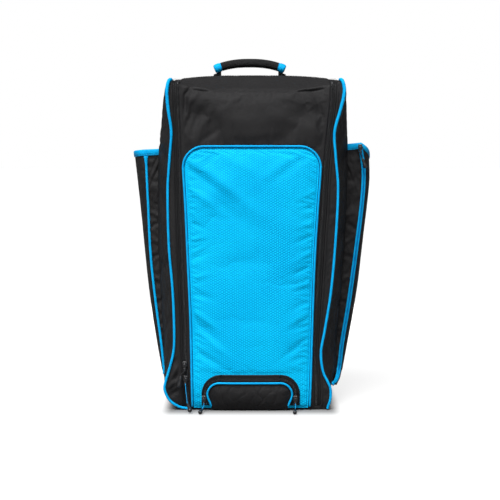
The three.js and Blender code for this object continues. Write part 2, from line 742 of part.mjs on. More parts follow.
/** A moulded pull end that widens from its neck to a round foot. */
function pullEnd(pull) {
  const { neck, foot } = pullPoints(pull);
  const along = foot.clone().sub(neck);
  const profile = [
    [0, 0],
    [3, 0],
    [3.6, 0.3],
    [5, 0.78],
    [3.4, 0.97],
    [0, 1],
  ].map(([r, share]) => new THREE.Vector2(r, share * along.length()));
  const turn = new THREE.Quaternion().setFromUnitVectors(
    new THREE.Vector3(0, 1, 0),
    along.clone().normalize(),
  );
  const geometry = new THREE.LatheGeometry(profile, 8);
  return geometry.applyQuaternion(turn).translate(neck.x, neck.y, neck.z);
}

const bag = new THREE.Group();

function addPiece(name, geometry, finish) {
  const mesh = new THREE.Mesh(geometry, new THREE.MeshStandardMaterial(finish));
  mesh.name = name;
  bag.add(mesh);
}

addPiece("body_shell", geometryOf(bodyWall.subtract(zipOuter).subtract(housingClear)), BLACK_CLOTH);
addPiece("main_zip_tape", geometryOf(bodyWall.intersect(zipTape).subtract(zipInner)), BLACK_ZIP);
addPiece("front_lid", geometryOf(bodyWall.intersect(lidInner)), BLACK_CLOTH);
addPiece("front_panel", geometryOf(frontPanel), BLUE_CLOTH);
addPiece("pocket_zip_tape", geometryOf(pocketZip), BLACK_ZIP);
addPiece("pocket_front", geometryOf(pocketFront), BLACK_CLOTH);
addPiece(
  "panel_piping",
  pipingOn(panelEdge(PIPING_RADIUS + 2 * SEAM_GAP, PANEL_BOTTOM + 4), frontY),
  BLUE_TRIM,
);
addPiece("pocket_piping", pipingOn(arch(POCKET_INNER, 1, 12), panelFaceY), BLUE_TRIM);
addPiece("side_piping_left", sidePiping(BODY.frontLeft, BODY.sideLeft, -1), BLUE_TRIM);
addPiece("side_piping_right", sidePiping(BODY.frontRight, BODY.sideRight, 1), BLUE_TRIM);

for (const [where, sleeve] of Object.entries(SLEEVES)) {
  addPiece(`side_sleeve_${where}`, geometryOf(sleeveWall(sleeve)), BLACK_CLOTH);
  addPiece(`sleeve_binding_${where}`, geometryOf(sleeveBinding(sleeve)), BLUE_TRIM);
}
const leftTop = SLEEVES.left.rim.corner - BINDING_HEIGHT - 2;
const rightTop = SLEEVES.right.rim.corner - 1;
addPiece("sleeve_piping_left", sleeveStrip(SLEEVES.left, PIPING_RADIUS, leftTop, 0), BLUE_TRIM);
addPiece(
  "sleeve_zip_right",
  sleeveStrip(SLEEVES.right, SLEEVE_ZIP_RADIUS, rightTop, SLEEVE_ZIP_STEP),
  BLUE_TRIM,
);

const END_BAND = 17;
const bandFrom = HANDLE_HALF - END_BAND;
const gripHalf = bandFrom - SEAM_GAP;
addPiece("handle_grip", gripStretch(-gripHalf, gripHalf, GRIP_RADIUS, 10), BLACK_CLOTH);
for (const [where, side] of [["left", -1], ["right", 1]]) {
  const [from, to] = [side * bandFrom, side * HANDLE_HALF];
  addPiece(`handle_band_${where}`, gripStretch(from, to, BAND_RADIUS, 2), BLUE_TRIM);
  addPiece(`handle_strap_${where}`, handleStrap(side), BLACK_CLOTH);
  addPiece(`wheel_housing_${where}`, geometryOf(housingWithAxle(side * WHEEL_X)), BLACK_PLASTIC);
  addPiece(`wheel_${where}`, wheelGeometry(side * WHEEL_X), GREY_RUBBER);
}

for (const [where, pull] of Object.entries(PULLS)) {
  addPiece(`slider_${where}`, geometryOf(zipSlider(pull)), DARK_METAL);
  addPiece(`pull_cord_${where}`, pullCord(pull), BLUE_TRIM);
  addPiece(`pull_end_${where}`, pullEnd(pull), BLACK_PLASTIC);
}

export default bag;
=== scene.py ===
# %% [markdown]
# A wheeled duffel bag stands upright on its base. It is a black cloth body with a zipped lid, a
# padded blue panel on that lid, an open sleeve on each side, a handle on top and two wheels at the
# back. The CAD frame holds the true sizes. This lesson makes the cloth, the cords and the trim that
# are seen round it, each as a surface that numpy works out from short tables.

# %% Load the frame
import math
from collections import namedtuple

import bpy
import numpy as np
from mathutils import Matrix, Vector


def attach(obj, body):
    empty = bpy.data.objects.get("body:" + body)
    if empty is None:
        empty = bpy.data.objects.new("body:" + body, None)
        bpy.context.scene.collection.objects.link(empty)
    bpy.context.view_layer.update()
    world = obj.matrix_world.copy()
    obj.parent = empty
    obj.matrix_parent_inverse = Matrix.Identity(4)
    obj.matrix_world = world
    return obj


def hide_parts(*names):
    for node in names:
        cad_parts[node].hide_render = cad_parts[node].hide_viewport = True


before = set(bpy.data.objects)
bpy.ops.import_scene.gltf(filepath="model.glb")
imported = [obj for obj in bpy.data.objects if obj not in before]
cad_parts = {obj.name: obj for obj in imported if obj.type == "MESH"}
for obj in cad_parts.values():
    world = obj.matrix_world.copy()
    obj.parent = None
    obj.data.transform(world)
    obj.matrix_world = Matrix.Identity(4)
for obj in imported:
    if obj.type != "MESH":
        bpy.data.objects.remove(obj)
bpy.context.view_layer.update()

MM = 0.001  # the tables below are in millimetres, and Blender's meshes are in metres

# %% [markdown]
# The camera comes first, because every choice after it is judged through it. The picture is square,
# and 1.2 m of the bag's front plane fills its width. A long lens three metres off, a little above
# the bag's middle, gives the calm upright lines of a catalogue picture.

# %% Camera
FRONT_Y = -150.0
VIEW_WIDTH = 1200.0
VIEW_CENTRE = np.array([-2.4, FRONT_Y, 389.3])
CAMERA_PLACE = np.array([-2.4, -3150.0, 611.7])
SENSOR = 36.0

camera_data = bpy.data.cameras.new("camera")
camera_data.sensor_width = SENSOR
camera_data.lens = SENSOR * np.linalg.norm(CAMERA_PLACE - VIEW_CENTRE) / VIEW_WIDTH
camera = bpy.data.objects.new("camera", camera_data)
camera.location = Vector(CAMERA_PLACE * MM)
camera.rotation_euler = Vector(VIEW_CENTRE - CAMERA_PLACE).to_track_quat("-Z", "Y").to_euler()
bpy.context.scene.collection.objects.link(camera)
bpy.context.scene.camera = camera
print("lens", round(camera_data.lens, 2), "mm")

# %% [markdown]
# Every piece is a grid of points. A surface here is that grid flattened, with its quads, the quads'
# texture places in metres, and the rims that a flat face closes. Keeping those four arrays together
# lets one helper join any number of grids into one mesh.

# %% Grids of points
Surface = namedtuple("Surface", "points quads uv rims")


def corner_indices(rows, columns, wrap_rows, wrap_columns):
    """The four corners of each cell: its row and column, and the next ones, as index grids."""
    row, column = np.meshgrid(
        np.arange(rows if wrap_rows else rows - 1),
        np.arange(columns if wrap_columns else columns - 1),
        indexing="ij",
    )
    return row.ravel(), column.ravel(), row.ravel() + 1, column.ravel() + 1


def grid_surface(points, uv=None, wrap_rows=False, wrap_columns=False, capped=False):
    """Quads over a rows x columns grid; facing is columns' direction crossed with rows' direction.

    A grid that wraps gets one more row or column of texture places, so that the pattern goes on
    across the join. Capped closes the first and the last ring with one flat face each.
    """
    rows, columns = points.shape[:2]
    row, column, up, over = corner_indices(rows, columns, wrap_rows, wrap_columns)
    at = lambda r, c: (r % rows) * columns + c % columns
    quads = np.stack([at(row, column), at(row, over), at(up, over), at(up, column)], axis=-1)
    if uv is None:
        uv = arc_lengths(points, wrap_rows, wrap_columns)
    loop_uv = np.stack([uv[row, column], uv[row, over], uv[up, over], uv[up, column]], axis=1)
    rims = []
    if capped:
        rims = [at(0, np.arange(columns))[::-1], at(rows - 1, np.arange(columns))]
    return Surface(points.reshape(-1, 3), quads, loop_uv, rims)


def arc_lengths(points, wrap_rows=False, wrap_columns=False):
    """Texture places in metres: mean distance walked along the columns, and along the rows."""
    def walked(axis, wrap):
        line = np.concatenate([points, points.take([0], axis)], axis) if wrap else points
        steps = np.linalg.norm(np.diff(line, axis=axis), axis=2).mean(axis=1 - axis)
        return np.concatenate([[0.0], np.cumsum(steps)]) * MM

    return np.stack(np.meshgrid(walked(1, wrap_columns), walked(0, wrap_rows)), axis=-1)


def tube_surface(points):
    """Rings of points joined into a tube, with a flat face on the first and the last ring."""
    return grid_surface(points, wrap_columns=True, capped=True)


def make_piece(name, surfaces, material, body="bag", stands_for=()):
    """Joins surfaces into one mesh object that rides on a body and stands for CAD nodes."""
    counts = np.cumsum([0] + [len(s.points) for s in surfaces])
    points = np.concatenate([s.points for s in surfaces]) * MM
    faces = np.concatenate([s.quads + n for s, n in zip(surfaces, counts)]).tolist()
    rims = [(rim + n).tolist() for s, n in zip(surfaces, counts) for rim in s.rims]
    mesh = bpy.data.meshes.new(name)
    mesh.from_pydata(points.tolist(), [], faces + rims)
    uv = np.concatenate([s.uv.reshape(-1, 2) for s in surfaces])
    rim_uv = [points[rim][:, [0, 2]] for rim in rims]
    mesh.uv_layers.new(name="cloth").data.foreach_set(
        "uv", np.concatenate([uv, *rim_uv]).astype(np.float32).ravel()
    )
    mesh.polygons.foreach_set("use_smooth", np.ones(len(mesh.polygons), bool))
    mesh.materials.append(material)
    piece = bpy.data.objects.new(name, mesh)
    bpy.context.scene.collection.objects.link(piece)
    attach(piece, body)
    if stands_for:
        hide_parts(*stands_for)
    print(f"{name}: {2 * len(faces) + sum(map(len, rims))} triangles")
    return piece


# %% [markdown]
# The bag's forms are read from tables with a row for each level. A cubic curve through the rows,
# with each row's slope taken from its two neighbours, keeps the outline smooth, and it is the same
# curve that the CAD solids follow. A path through points is the same curve, read along the path.

# %% Smooth tables and paths
def smooth_table(rows):
    """All columns of a table as smooth functions of its first one: cubic Hermite pieces."""
    table = np.array(rows, float)
    at, values = table[:, 0], table[:, 1:]
    row = np.arange(len(at))
    before, after = np.maximum(row - 1, 0), np.minimum(row + 1, len(at) - 1)
    slopes = (values[after] - values[before]) / (at[after] - at[before])[:, None]

    def read(x):
        t = np.clip(np.asarray(x, float), at[0], at[-1])
        i = np.clip(np.searchsorted(at, t, side="right") - 1, 0, len(at) - 2)
        span = (at[i + 1] - at[i])[..., None]
        s = (t - at[i])[..., None] / span
        bow = s * s * (3 - 2 * s)
        leave = s * (1 - s) ** 2 * span * slopes[i]
        arrive = s * s * (s - 1) * span * slopes[i + 1]
        made = values[i] + (values[i + 1] - values[i]) * bow + leave + arrive
        return np.moveaxis(made, -1, 0)

    return read


def distance_gone(points):
    """The distance walked along the rows of a path or a grid of points, from 0 at its start."""
    steps = np.linalg.norm(np.diff(points, axis=0, prepend=points[:1]), axis=-1)
    return np.cumsum(steps, axis=0)


def read_along(at, gone, values):
    """Points along a path, or any other threes along it, at some of the distances gone."""
    return np.stack([np.interp(at, gone, values[:, k]) for k in range(3)], axis=-1)


def smooth_path(points, count):
    """Count points along the smooth curve through some points, evenly spaced by distance."""
    points = np.array(points, float)
    gaps = np.sqrt(np.linalg.norm(np.diff(points, axis=0), axis=1))
    at = np.concatenate([[0.0], np.cumsum(gaps)])
    fine = smooth_table(np.column_stack([at, points]))(np.linspace(0, at[-1], 20 * count)).T
    gone = distance_gone(fine)
    return read_along(np.linspace(0, gone[-1], count), gone, fine)


def smoothstep(x, low, high):
    """0 below low, 1 above high, and 3s^2 - 2s^3 between."""
    s = np.clip((x - low) / (high - low), 0, 1)
    return s * s * (3 - 2 * s)


def bell(x, middle, width, power=2):
    """1 at the middle, falling off to 1/e at width to both sides; a high power makes a flat top."""
    return np.exp(-(((x - middle) / width) ** power))


def soft_power(x, squareness):
    """A cosine or sine raised to a power below one, with its sign: a circle turns squarer."""
    return np.sign(x) * np.abs(x) ** squareness


def unit(vectors):
    """Vectors divided by their lengths."""
    return vectors / np.maximum(np.linalg.norm(vectors, axis=-1, keepdims=True), 1e-9)


def path_axes(path, facing):
    """Unit vectors across a path and out of it: facing x along, and along x that."""
    along = unit(np.gradient(path, axis=0))
    across = unit(np.cross(np.broadcast_to(facing, path.shape), along))
    return across, np.cross(along, across)


def ring_points(path, across, out, outline):
    """An outline (across, out), or one for each point, carried along a path with its directions."""
    return path[:, None] + outline[..., :1] * across[:, None] + outline[..., 1:] * out[:, None]


def swept(path, outline, facing=(0, -1, 0), size=None):
    """A closed outline (to the side, outwards) carried along a path, each ring scaled by size."""
    across, out = path_axes(path, facing)
    size = np.ones(len(path)) if size is None else size
    return tube_surface(ring_points(path, across, out, outline[None] * size[:, None, None]))


def round_outline(radius, sides, flat=1.0):
    """A circle of points, or an ellipse that is flat times as deep as it is wide."""
    turn = np.linspace(0, 2 * np.pi, sides, endpoint=False)
    return np.stack([radius * np.cos(turn), flat * radius * np.sin(turn)], axis=-1)


def revolved(profile, foot, top, sides):
    """A profile (distance from the axis, share along it) turned round the line from foot to top."""
    profile = np.array(profile, float)
    foot, top = np.array(foot, float), np.array(top, float)
    along = unit(top - foot)
    any_other_way = [0.31, 0.9, 0.2]
    across = unit(np.cross(any_other_way, along))
    out = np.cross(along, across)
    ring = round_outline(1.0, sides)
    spokes = ring[:, :1] * across + ring[:, 1:] * out
    centres = foot + profile[:, 1:] * (top - foot)
    return tube_surface(centres[:, None] + profile[:, :1, None] * spokes[None])


def pillow_block(centre, half, squareness, sides=16):
    """A block with soft edges: a ball whose cosines and sines are raised to a power below one."""
    turn = np.linspace(0, 2 * np.pi, sides, endpoint=False)
    nearly_pole = 0.47 * np.pi
    rise = np.linspace(-nearly_pole, nearly_pole, sides // 2)[:, None]
    level_out = soft_power(np.cos(rise), squareness)
    shape = np.stack(
        [
            level_out * soft_power(np.cos(turn), squareness),
            level_out * soft_power(np.sin(turn), squareness),
            soft_power(np.sin(rise), squareness) * np.ones_like(turn),
        ],
        axis=-1,
    )
    return tube_surface(np.array(centre) + shape * np.array(half))


print("helpers ready")

# %% [markdown]
# The body is a tall soft box. Each row of its table is a level cut through it: where the two front
# edges are, where the side walls are, how deep the front edge sits and how far the front swells.
# The main zip and the blue panel have their own edge tables on that front.

# %% The bag's tables
BACK_Y = 150.0
RIM_Z = 800.0
BACK_CORNER = 45.0
FLARE_SHARE = 0.36
TOP_DROP = 34.0
SHOULDER_DROP = 9.0
SAG_HEIGHT = 120.0
ZIP_HALF = 8.0
ZIP_TOP_Y = -20.0
PANEL_BOTTOM = 6.0
PANEL_TOP = 633.5
PANEL_CORNER = 47.0
PANEL_PUFF = 9.0
POCKET_PUFF = 6.0
POCKET_HALF, POCKET_HEIGHT = 105.0, 78.0  # how far the pocket's swell reaches
CLOTH = 2.2
SEAM_GAP = 0.6

# Level, front's left edge, front's right edge, left wall, right wall, front edge's depth, swell
body_level = smooth_table([
    [0, -158, 183, -176, 186, FRONT_Y + 8, 2],
    [18, -190, 190, -200, 196, FRONT_Y + 3, 4],
    [37, -204, 193, -211, 199, FRONT_Y + 1, 6],
    [58, -209, 191, -214, 201, FRONT_Y, 8],
    [95, -199, 174, -214, 210, FRONT_Y, 10],
    [143, -187, 169, -215, 212, FRONT_Y, 12],
    [191, -185, 177, -217, 215, FRONT_Y, 13],
    [287, -188, 192, -222, 222, FRONT_Y, 14],
    [402, -197, 202, -227, 230, FRONT_Y, 14],
    [536, -199, 208, -227, 235, FRONT_Y, 14],
    [613, -194, 202, -226, 236, FRONT_Y, 13],
    [671, -190, 199, -221, 235, FRONT_Y, 12],
    [728, -197, 213, -216, 233, FRONT_Y, 10],
    [776, -200, 222, -211, 233, FRONT_Y + 1, 8],
    [RIM_Z, -197, 219, -207, 229, FRONT_Y + 5, 6],
])
SIDES = {"left": -1, "right": 1}
# Level, the zip's left run, its right run
zip_level = smooth_table([
    [0, -157, 161],
    [60, -157, 161],
    [143, -162, 156],
    [200, -162, 158],
    [287, -166, 163],
    [400, -170, 169],
    [500, -173, 175],
    [575, -174, 179],
    [640, -175, 185],
    [760, -178, 196],
    [900, -180, 199],
])
# Level, the panel's left edge, its right edge
panel_level = smooth_table([
    [0, -138, 138],
    [52, -139, 140],
    [172, -141, 143],
    [248, -143, 145],
    [364, -148, 149],
    [488, -153, 156],
    [575, -158, 162],
    [640, -161, 165],
])
# Broad folds of the front: x, z, lean of the crest in degrees, half length, half width, height
BROAD_FOLDS = np.array([
    [-128, 716, -38, 95, 34, -7],
    [138, 718, 36, 95, 34, -7],
    [5, 690, 0, 120, 40, 4],
    [-96, 520, 42, 80, 30, 4],
    [110, 300, -35, 60, 34, -3],
    [-118, 190, 30, 60, 34, -3],
], float)


def folds(table, x, z):
    """The sum of ridges: each a Gaussian along and across its own leaning crest."""
    x, z = np.broadcast_arrays(x, z)
    at_x, at_z, lean, length, width, height = table.T
    lean = np.radians(lean)
    dx, dz = x[..., None] - at_x, z[..., None] - at_z
    along = (dx * np.cos(lean) + dz * np.sin(lean)) / length
    over = (dz * np.cos(lean) - dx * np.sin(lean)) / width
    return (height * np.exp(-(along**2) - over**2)).sum(axis=-1)


def front_y(x, z):
    """The front's depth: its edge, less a parabola of swell and folds that is 0 at both edges."""
    left, right, _, _, edge, swell = body_level(z)
    across = np.clip((x - left) / (right - left), 0, 1)
    return edge - (swell + folds(BROAD_FOLDS, x, z)) * 4 * across * (1 - across)


def wall_distance(side, level):
    """How far the left or the right wall stands from the middle at each level."""
    return np.abs(body_level(level)[2 if side < 0 else 3])


def panel_face_y(x, z):
    """The panel's depth: the front, less a pad that is full in the middle and a pocket's swell."""
    across = np.clip(x / panel_level(z)[1], -1, 1)
    up = np.clip(2 * z / PANEL_TOP - 1, -1, 1)
    pad = PANEL_PUFF * (1 - across**4) * (1 - up**6)
    pocket = np.maximum(0, 1 - (x / POCKET_HALF) ** 4) * np.maximum(0, 1 - (z / POCKET_HEIGHT) ** 3)
    return front_y(x, z) - 2 * SEAM_GAP - CLOTH - pad - POCKET_PUFF * pocket


print("front swells to y", round(float(panel_face_y(np.array(0.0), np.array(300.0))), 1), "mm")

# %% [markdown]
# A finish is a small node tree on one shader. Colours, roughness and bump vary over the surface and
# are linked. What is the same all over, such as how much it mirrors, is set on the shader itself,
# so that it survives an export. Patterns that follow the cloth read its texture places, which are in
# metres, so a thread is as wide here as on the real thing.

# %% Node helpers
def new_finish(name, roughness, metallic=0.0, specular=0.5):
    """A material with one shader whose even values are set on its own sockets."""
    material = bpy.data.materials.new(name)
    material.use_nodes = True
    shader = material.node_tree.nodes["Principled BSDF"]
    even = {"Roughness": roughness, "Metallic": metallic, "Specular IOR Level": specular}
    for socket, value in even.items():
        shader.inputs[socket].default_value = value
    return material, shader


def add_node(material, kind, inputs=None, **settings):
    """Adds a node; an input that is a socket is linked, and any other is set."""
    node = material.node_tree.nodes.new(kind)
    for key, value in settings.items():
        setattr(node, key, value)
    for key, value in (inputs or {}).items():
        if isinstance(value, bpy.types.NodeSocket):
            material.node_tree.links.new(value, node.inputs[key])
        else:
            node.inputs[key].default_value = value
    return node


def math_node(material, operation, *values):
    """One sum on one, two or three values or sockets."""
    node = add_node(material, "ShaderNodeMath", dict(enumerate(values)), operation=operation)
    return node.outputs[0]


def cloth_places(material):
    """The two texture places of a surface, in metres."""
    uv = add_node(material, "ShaderNodeUVMap", uv_map="cloth").outputs[0]
    split = add_node(material, "ShaderNodeSeparateXYZ", {0: uv})
    return split.outputs[0], split.outputs[1]


def waves(material, place, pitch, shift=0.0):
    """sin(2 pi place / pitch + shift)."""
    scaled = math_node(material, "MULTIPLY_ADD", place, 2 * math.pi / (pitch * MM), shift)
    return math_node(material, "SINE", scaled)


def cloud(material, scale, detail=3.0):
    """Soft noise on object coordinates, from about 0.25 to 0.75."""
    where = add_node(material, "ShaderNodeTexCoord").outputs["Object"]
    return add_node(
        material, "ShaderNodeTexNoise", {"Vector": where, "Scale": scale, "Detail": detail}
    ).outputs["Fac"]


def colour_between(material, factor, low, high):
    """A colour ramp over 0.25 to 0.75 of a factor."""
    ramp = add_node(material, "ShaderNodeValToRGB", {0: factor})
    ramp.color_ramp.elements[0].position = 0.25
    ramp.color_ramp.elements[1].position = 0.75
    ramp.color_ramp.elements[0].color = (*low, 1)
    ramp.color_ramp.elements[1].color = (*high, 1)
    return ramp.outputs[0]


def set_socket(material, shader, socket, value):
    """Links a socket to one of the shader's inputs."""
    material.node_tree.links.new(value, shader.inputs[socket])


def bump(material, shader, height, depth):
    """Raises the surface by height times depth, in millimetres."""
    node = add_node(
        material, "ShaderNodeBump", {"Height": height, "Strength": 1.0, "Distance": depth * MM}
    )
    set_socket(material, shader, "Normal", node.outputs[0])


print("node helpers ready")

# %% [markdown]
# Eight finishes serve the small hard pieces and the trim. Piping and bindings are a smooth coated
# tape with a faint rib. Moulded plastic, rubber and zip teeth have a fine grain. Sliders are dark
# coated metal, worn a little where they rub. Each one varies in colour and relief, because an even
# colour looks like a drawing and not like a thing.

# %% Trim and hardware finishes
def blue_trim_finish():
    """Cyan coated tape: fine ribs across it, and a slow drift in colour."""
    material, shader = new_finish("blue_trim", 0.5, specular=0.04)
    drift = cloud(material, 60.0)
    set_socket(
        material, shader, "Base Color",
        colour_between(material, drift, (0.001, 0.24, 0.52), (0.003, 0.32, 0.63)),
    )
    across, along = cloth_places(material)
    ribs = math_node(
        material, "MULTIPLY", waves(material, along, 1.1), waves(material, across, 1.3)
    )
    bump(material, shader, ribs, 0.06)
    return material


def moulded_finish(name, dark, light, roughness, grain, specular):
    """Moulded plastic or rubber: a fine grain and a little drift in gloss."""
    material, shader = new_finish(name, roughness, specular=specular)
    drift = cloud(material, 90.0)
    set_socket(material, shader, "Base Color", colour_between(material, drift, dark, light))
    gloss = add_node(
        material, "ShaderNodeMapRange",
        {"Value": drift, "To Min": roughness - 0.1, "To Max": roughness + 0.1},
    )
    set_socket(material, shader, "Roughness", gloss.outputs[0])
    bump(material, shader, cloud(material, grain, 2.0), 0.12)
    return material


def metal_finish():
    """Dark coated metal that is worn brighter in patches."""
    material, shader = new_finish("dark_metal", 0.26, metallic=0.7)
    wear = cloud(material, 420.0, 5.0)
    set_socket(
        material, shader, "Base Color",
        colour_between(material, wear, (0.012, 0.012, 0.013), (0.06, 0.06, 0.063)),
    )
    bump(material, shader, wear, 0.04)
    return material


def cord_finish(name, dark, light):
    """A twisted cord: slanting strands, with painted shade darkening the grooves between them."""
    material, shader = new_finish(name, 0.6, specular=0.2)
    across, along = cloth_places(material)
    slant = math_node(material, "ADD", along, math_node(material, "MULTIPLY", across, 0.7))
    strand = waves(material, slant, 0.9)
    # Painted shade: the colour is darker where the strands' relief is low, in the grooves.
    share = math_node(material, "MULTIPLY_ADD", strand, 0.25, 0.5)
    set_socket(material, shader, "Base Color", colour_between(material, share, dark, light))
    bump(material, shader, strand, 0.12)
    return material


blue_trim = blue_trim_finish()
blue_cord = cord_finish("blue_cord", (0.001, 0.15, 0.38), (0.003, 0.3, 0.62))
black_cord = cord_finish("black_cord", (0.006, 0.006, 0.007), (0.022, 0.022, 0.024))
# Darkest colour, lightest colour, roughness, the grain's scale, how much it mirrors
MOULDED = {
    "black_plastic": ((0.006, 0.006, 0.007), (0.013, 0.013, 0.014), 0.4, 900.0, 0.45),
    "rubber": ((0.012, 0.012, 0.013), (0.026, 0.026, 0.028), 0.75, 500.0, 0.45),
    "zip_coil": ((0.008, 0.008, 0.009), (0.02, 0.02, 0.022), 0.38, 600.0, 0.45),
    "blue_coil": ((0.001, 0.12, 0.36), (0.002, 0.19, 0.5), 0.5, 600.0, 0.08),
}
black_plastic, grey_rubber, coil, blue_coil = (
    moulded_finish(name, *row) for name, row in MOULDED.items()
)
dark_metal = metal_finish()
print("trim finishes", [m.name for m in bpy.data.materials if m.use_nodes])

# %% [markdown]
# Five zip sliders carry a thin limp cord, doubled through the slider's eye, with both ends moulded
# into a black pull. The cords follow the same points as their CAD solids, and bend round the eye in
# two of their own diameters. The three lowest pulls are longer than the way to the floor, so they
# lie out on it.

# %% Routes of the pulls
SHOE_WIDTH, SHOE_DEPTH, SHOE_HEIGHT = 9.0, 4.4, 15.0
EYE_DROP = 11.0
TAB_STAND = 8.0
CORD_RADIUS = 0.9
LOOP_RADIUS = 3.6
LOOP_TOP = 0.6
LOOP_SHOULDER = (2.55, -0.45)  # a point of the loop, an eighth of a turn down from its top
SLEEVE_FRONT = -50.0
SLEEVE_ZIP_RADIUS = 4.0
SLEEVE_ZIP_STEP = 2.8


def sleeve_zip_y(x, z):
    """The depth of the right sleeve's zip over its rim, the same everywhere."""
    return np.full(np.shape(x), SLEEVE_FRONT - 2 * SLEEVE_ZIP_RADIUS - SEAM_GAP - SLEEVE_ZIP_STEP)


# Slider's x and z, its face, then the pull's neck and foot from the eye: right, out, down
PULLS = {
    "main_upper": (-160, 112, front_y, (-9, 2, 16), (-14, 3, 42)),
    "main_lower": (-158, 78, front_y, (6, 10, 47), (13, 33, 60.5)),
    "pocket_left": (-113.5, 30, panel_face_y, (-4, 15, 11), (-8, 40, 13)),
    "pocket_right": (107, 30, panel_face_y, (-1, 15, 11), (-3, 40, 13)),
    "sleeve_right": (268, 635, sleeve_zip_y, (5, 1, 16), (13, 2, 39)),
}
BLACK_CORDS = ("main_upper", "sleeve_right")


def pull_points(x, z, face, neck, foot):
    """The slider's back, its eye, and the pull's neck and foot: offsets turned into places."""
    corner_x = x + (SHOE_WIDTH + 1) / 2 * np.array([-1, -1, 1, 1])
    corner_z = z + (SHOE_HEIGHT + 1) / 2 * np.array([-1, 1, -1, 1])
    back = float(np.min(face(corner_x, corner_z))) - 2 * SEAM_GAP
    eye = np.array([x, back - TAB_STAND, z - EYE_DROP], float)
    turn = np.array([1, -1, -1])
    return back, eye, eye + turn * np.array(neck), eye + turn * np.array(foot)


def cord_route(eye, neck, foot):
    """Up one strand from inside the pull, round through the eye, and down the other strand."""
    along = unit(foot - neck)
    apart = unit(np.cross([1, 0, 0], along))

    def strand(side):
        return [
            eye + [0, LOOP_SHOULDER[0] * side, LOOP_SHOULDER[1]],
            eye + [0, LOOP_RADIUS * side, LOOP_TOP - LOOP_RADIUS],
            neck - 6 * along + 2 * side * apart,
            neck - 0.8 * along + 1.4 * side * apart,
            neck + 3 * along + 1.4 * side * apart,
        ]

    return smooth_path([*strand(1)[::-1], eye + [0, 0, LOOP_TOP], *strand(-1)], 40)


# Distance from the axis and share of the length, from a round neck to a full round foot
PULL_PROFILE = [
    [1.4, 0.0], [2.7, 0.015], [3.1, 0.05], [3.2, 0.2], [3.5, 0.24], [3.5, 0.3], [3.3, 0.34],
    [3.8, 0.5], [4.7, 0.7], [5.0, 0.82], [4.7, 0.92], [3.6, 0.975], [1.6, 1.0],
]

for where, (x, z, face, neck_from_eye, foot_from_eye) in PULLS.items():
    _, eye, neck, foot = pull_points(x, z, face, neck_from_eye, foot_from_eye)
    route = cord_route(eye, neck, foot)
    cord = make_piece(
        f"cord_{where}",
        [swept(route, round_outline(CORD_RADIUS, 10), facing=(1, 0, 0))],
        black_cord if where in BLACK_CORDS else blue_cord,
        stands_for=[f"pull_cord_{where}"],
    )
    end = make_piece(
        f"pull_{where}",
        [revolved(PULL_PROFILE, neck, foot, 20)],
        black_plastic, stands_for=[f"pull_end_{where}"],
    )

# %% [markdown]
# A slider is a cast shoe that runs on the zip, an arch over it and a flat tab that ends in a ring.
# Each is a soft-edged block or a swept bar, and one joined mesh holds them all.

# %% Sliders
ARCH_HALF = 5.2
RING_RADIUS = 2.75
RING_WIRE = (0.95, 0.9)  # half the wire's width, out from the eye and along the eye's axis


def arch_bar(x, back, z):
    """A half oval of wire over the shoe, from its upper to its lower end."""
    turn = np.linspace(0, np.pi, 15)
    depth = back - SHOE_DEPTH + 1 - (TAB_STAND - SHOE_DEPTH + 1.2) * np.sin(turn)
    path = np.stack([x + 0 * turn, depth, z + ARCH_HALF * np.cos(turn)], axis=-1)
    return swept(path, round_outline(1.5, 8, 0.6), facing=(1, 0, 0))


def eye_ring(eye):
    """A ring round the eye: a small circle carried round a larger one, closed both ways."""
    turn = np.linspace(0, 2 * np.pi, 20, endpoint=False)[:, None]
    small = round_outline(1.0, 8) * RING_WIRE
    far = RING_RADIUS + small[:, 0]
    points = np.stack(
        [far * np.sin(turn), small[:, 1] * np.ones_like(turn), far * np.cos(turn)], axis=-1
    )
    return grid_surface(eye + points[::-1], wrap_rows=True, wrap_columns=True)


for where, (x, z, face, neck_from_eye, foot_from_eye) in PULLS.items():
    back, eye, _, _ = pull_points(x, z, face, neck_from_eye, foot_from_eye)
    shoe_y = back - SHOE_DEPTH / 2
    blocks = [
        pillow_block([x + dx, y, z + dz], half, squareness)
        for dx, y, dz, half, squareness in (
            (-2.1, shoe_y, 1.0, [3.2, 2.2, 7.2], 0.4),
            (2.1, shoe_y, 1.0, [3.2, 2.2, 7.2], 0.4),
            (0.0, shoe_y, -4.0, [3.4, 2.1, 4.6], 0.45),
            (0.0, eye[1], -2.6, [2.9, 0.85, 5.8], 0.5),
        )
    ]
    make_piece(
        f"slider_{where}_visual", [*blocks, arch_bar(x, back, z), eye_ring(eye)],
        dark_metal, stands_for=[f"slider_{where}"],
    )

# %% [markdown]
# The cloths of the bag are plain weaves. Crossed waves on the texture places make the threads, noise
# mixes lighter and darker fibres, and slower noise stands for wear. The panel's blue cloth is also
# embossed with small cells: three rows of waves at 60 degrees to each other add up to a honeycomb.

# %% Cloth finishes
CELL_PITCH = 6.1  # the honeycomb's cells, from middle to middle


def woven_finish(name, dark, light, thread, depth, roughness, specular):
    """Threads are two crossed waves; colour is fibres, wear and a little of the threads."""
    material, shader = new_finish(name, roughness, specular=specular)
    across, along = cloth_places(material)
    threads = math_node(
        material, "MULTIPLY", waves(material, across, thread), waves(material, along, thread)
    )
    fibres = math_node(material, "MULTIPLY", cloud(material, 620.0, 4.0), 0.6)
    worn = math_node(material, "MULTIPLY_ADD", cloud(material, 8.0), 0.4, fibres)
    share = math_node(material, "MULTIPLY_ADD", threads, 0.09, worn)
    set_socket(material, shader, "Base Color", colour_between(material, share, dark, light))
    bump(material, shader, threads, depth)
    return material


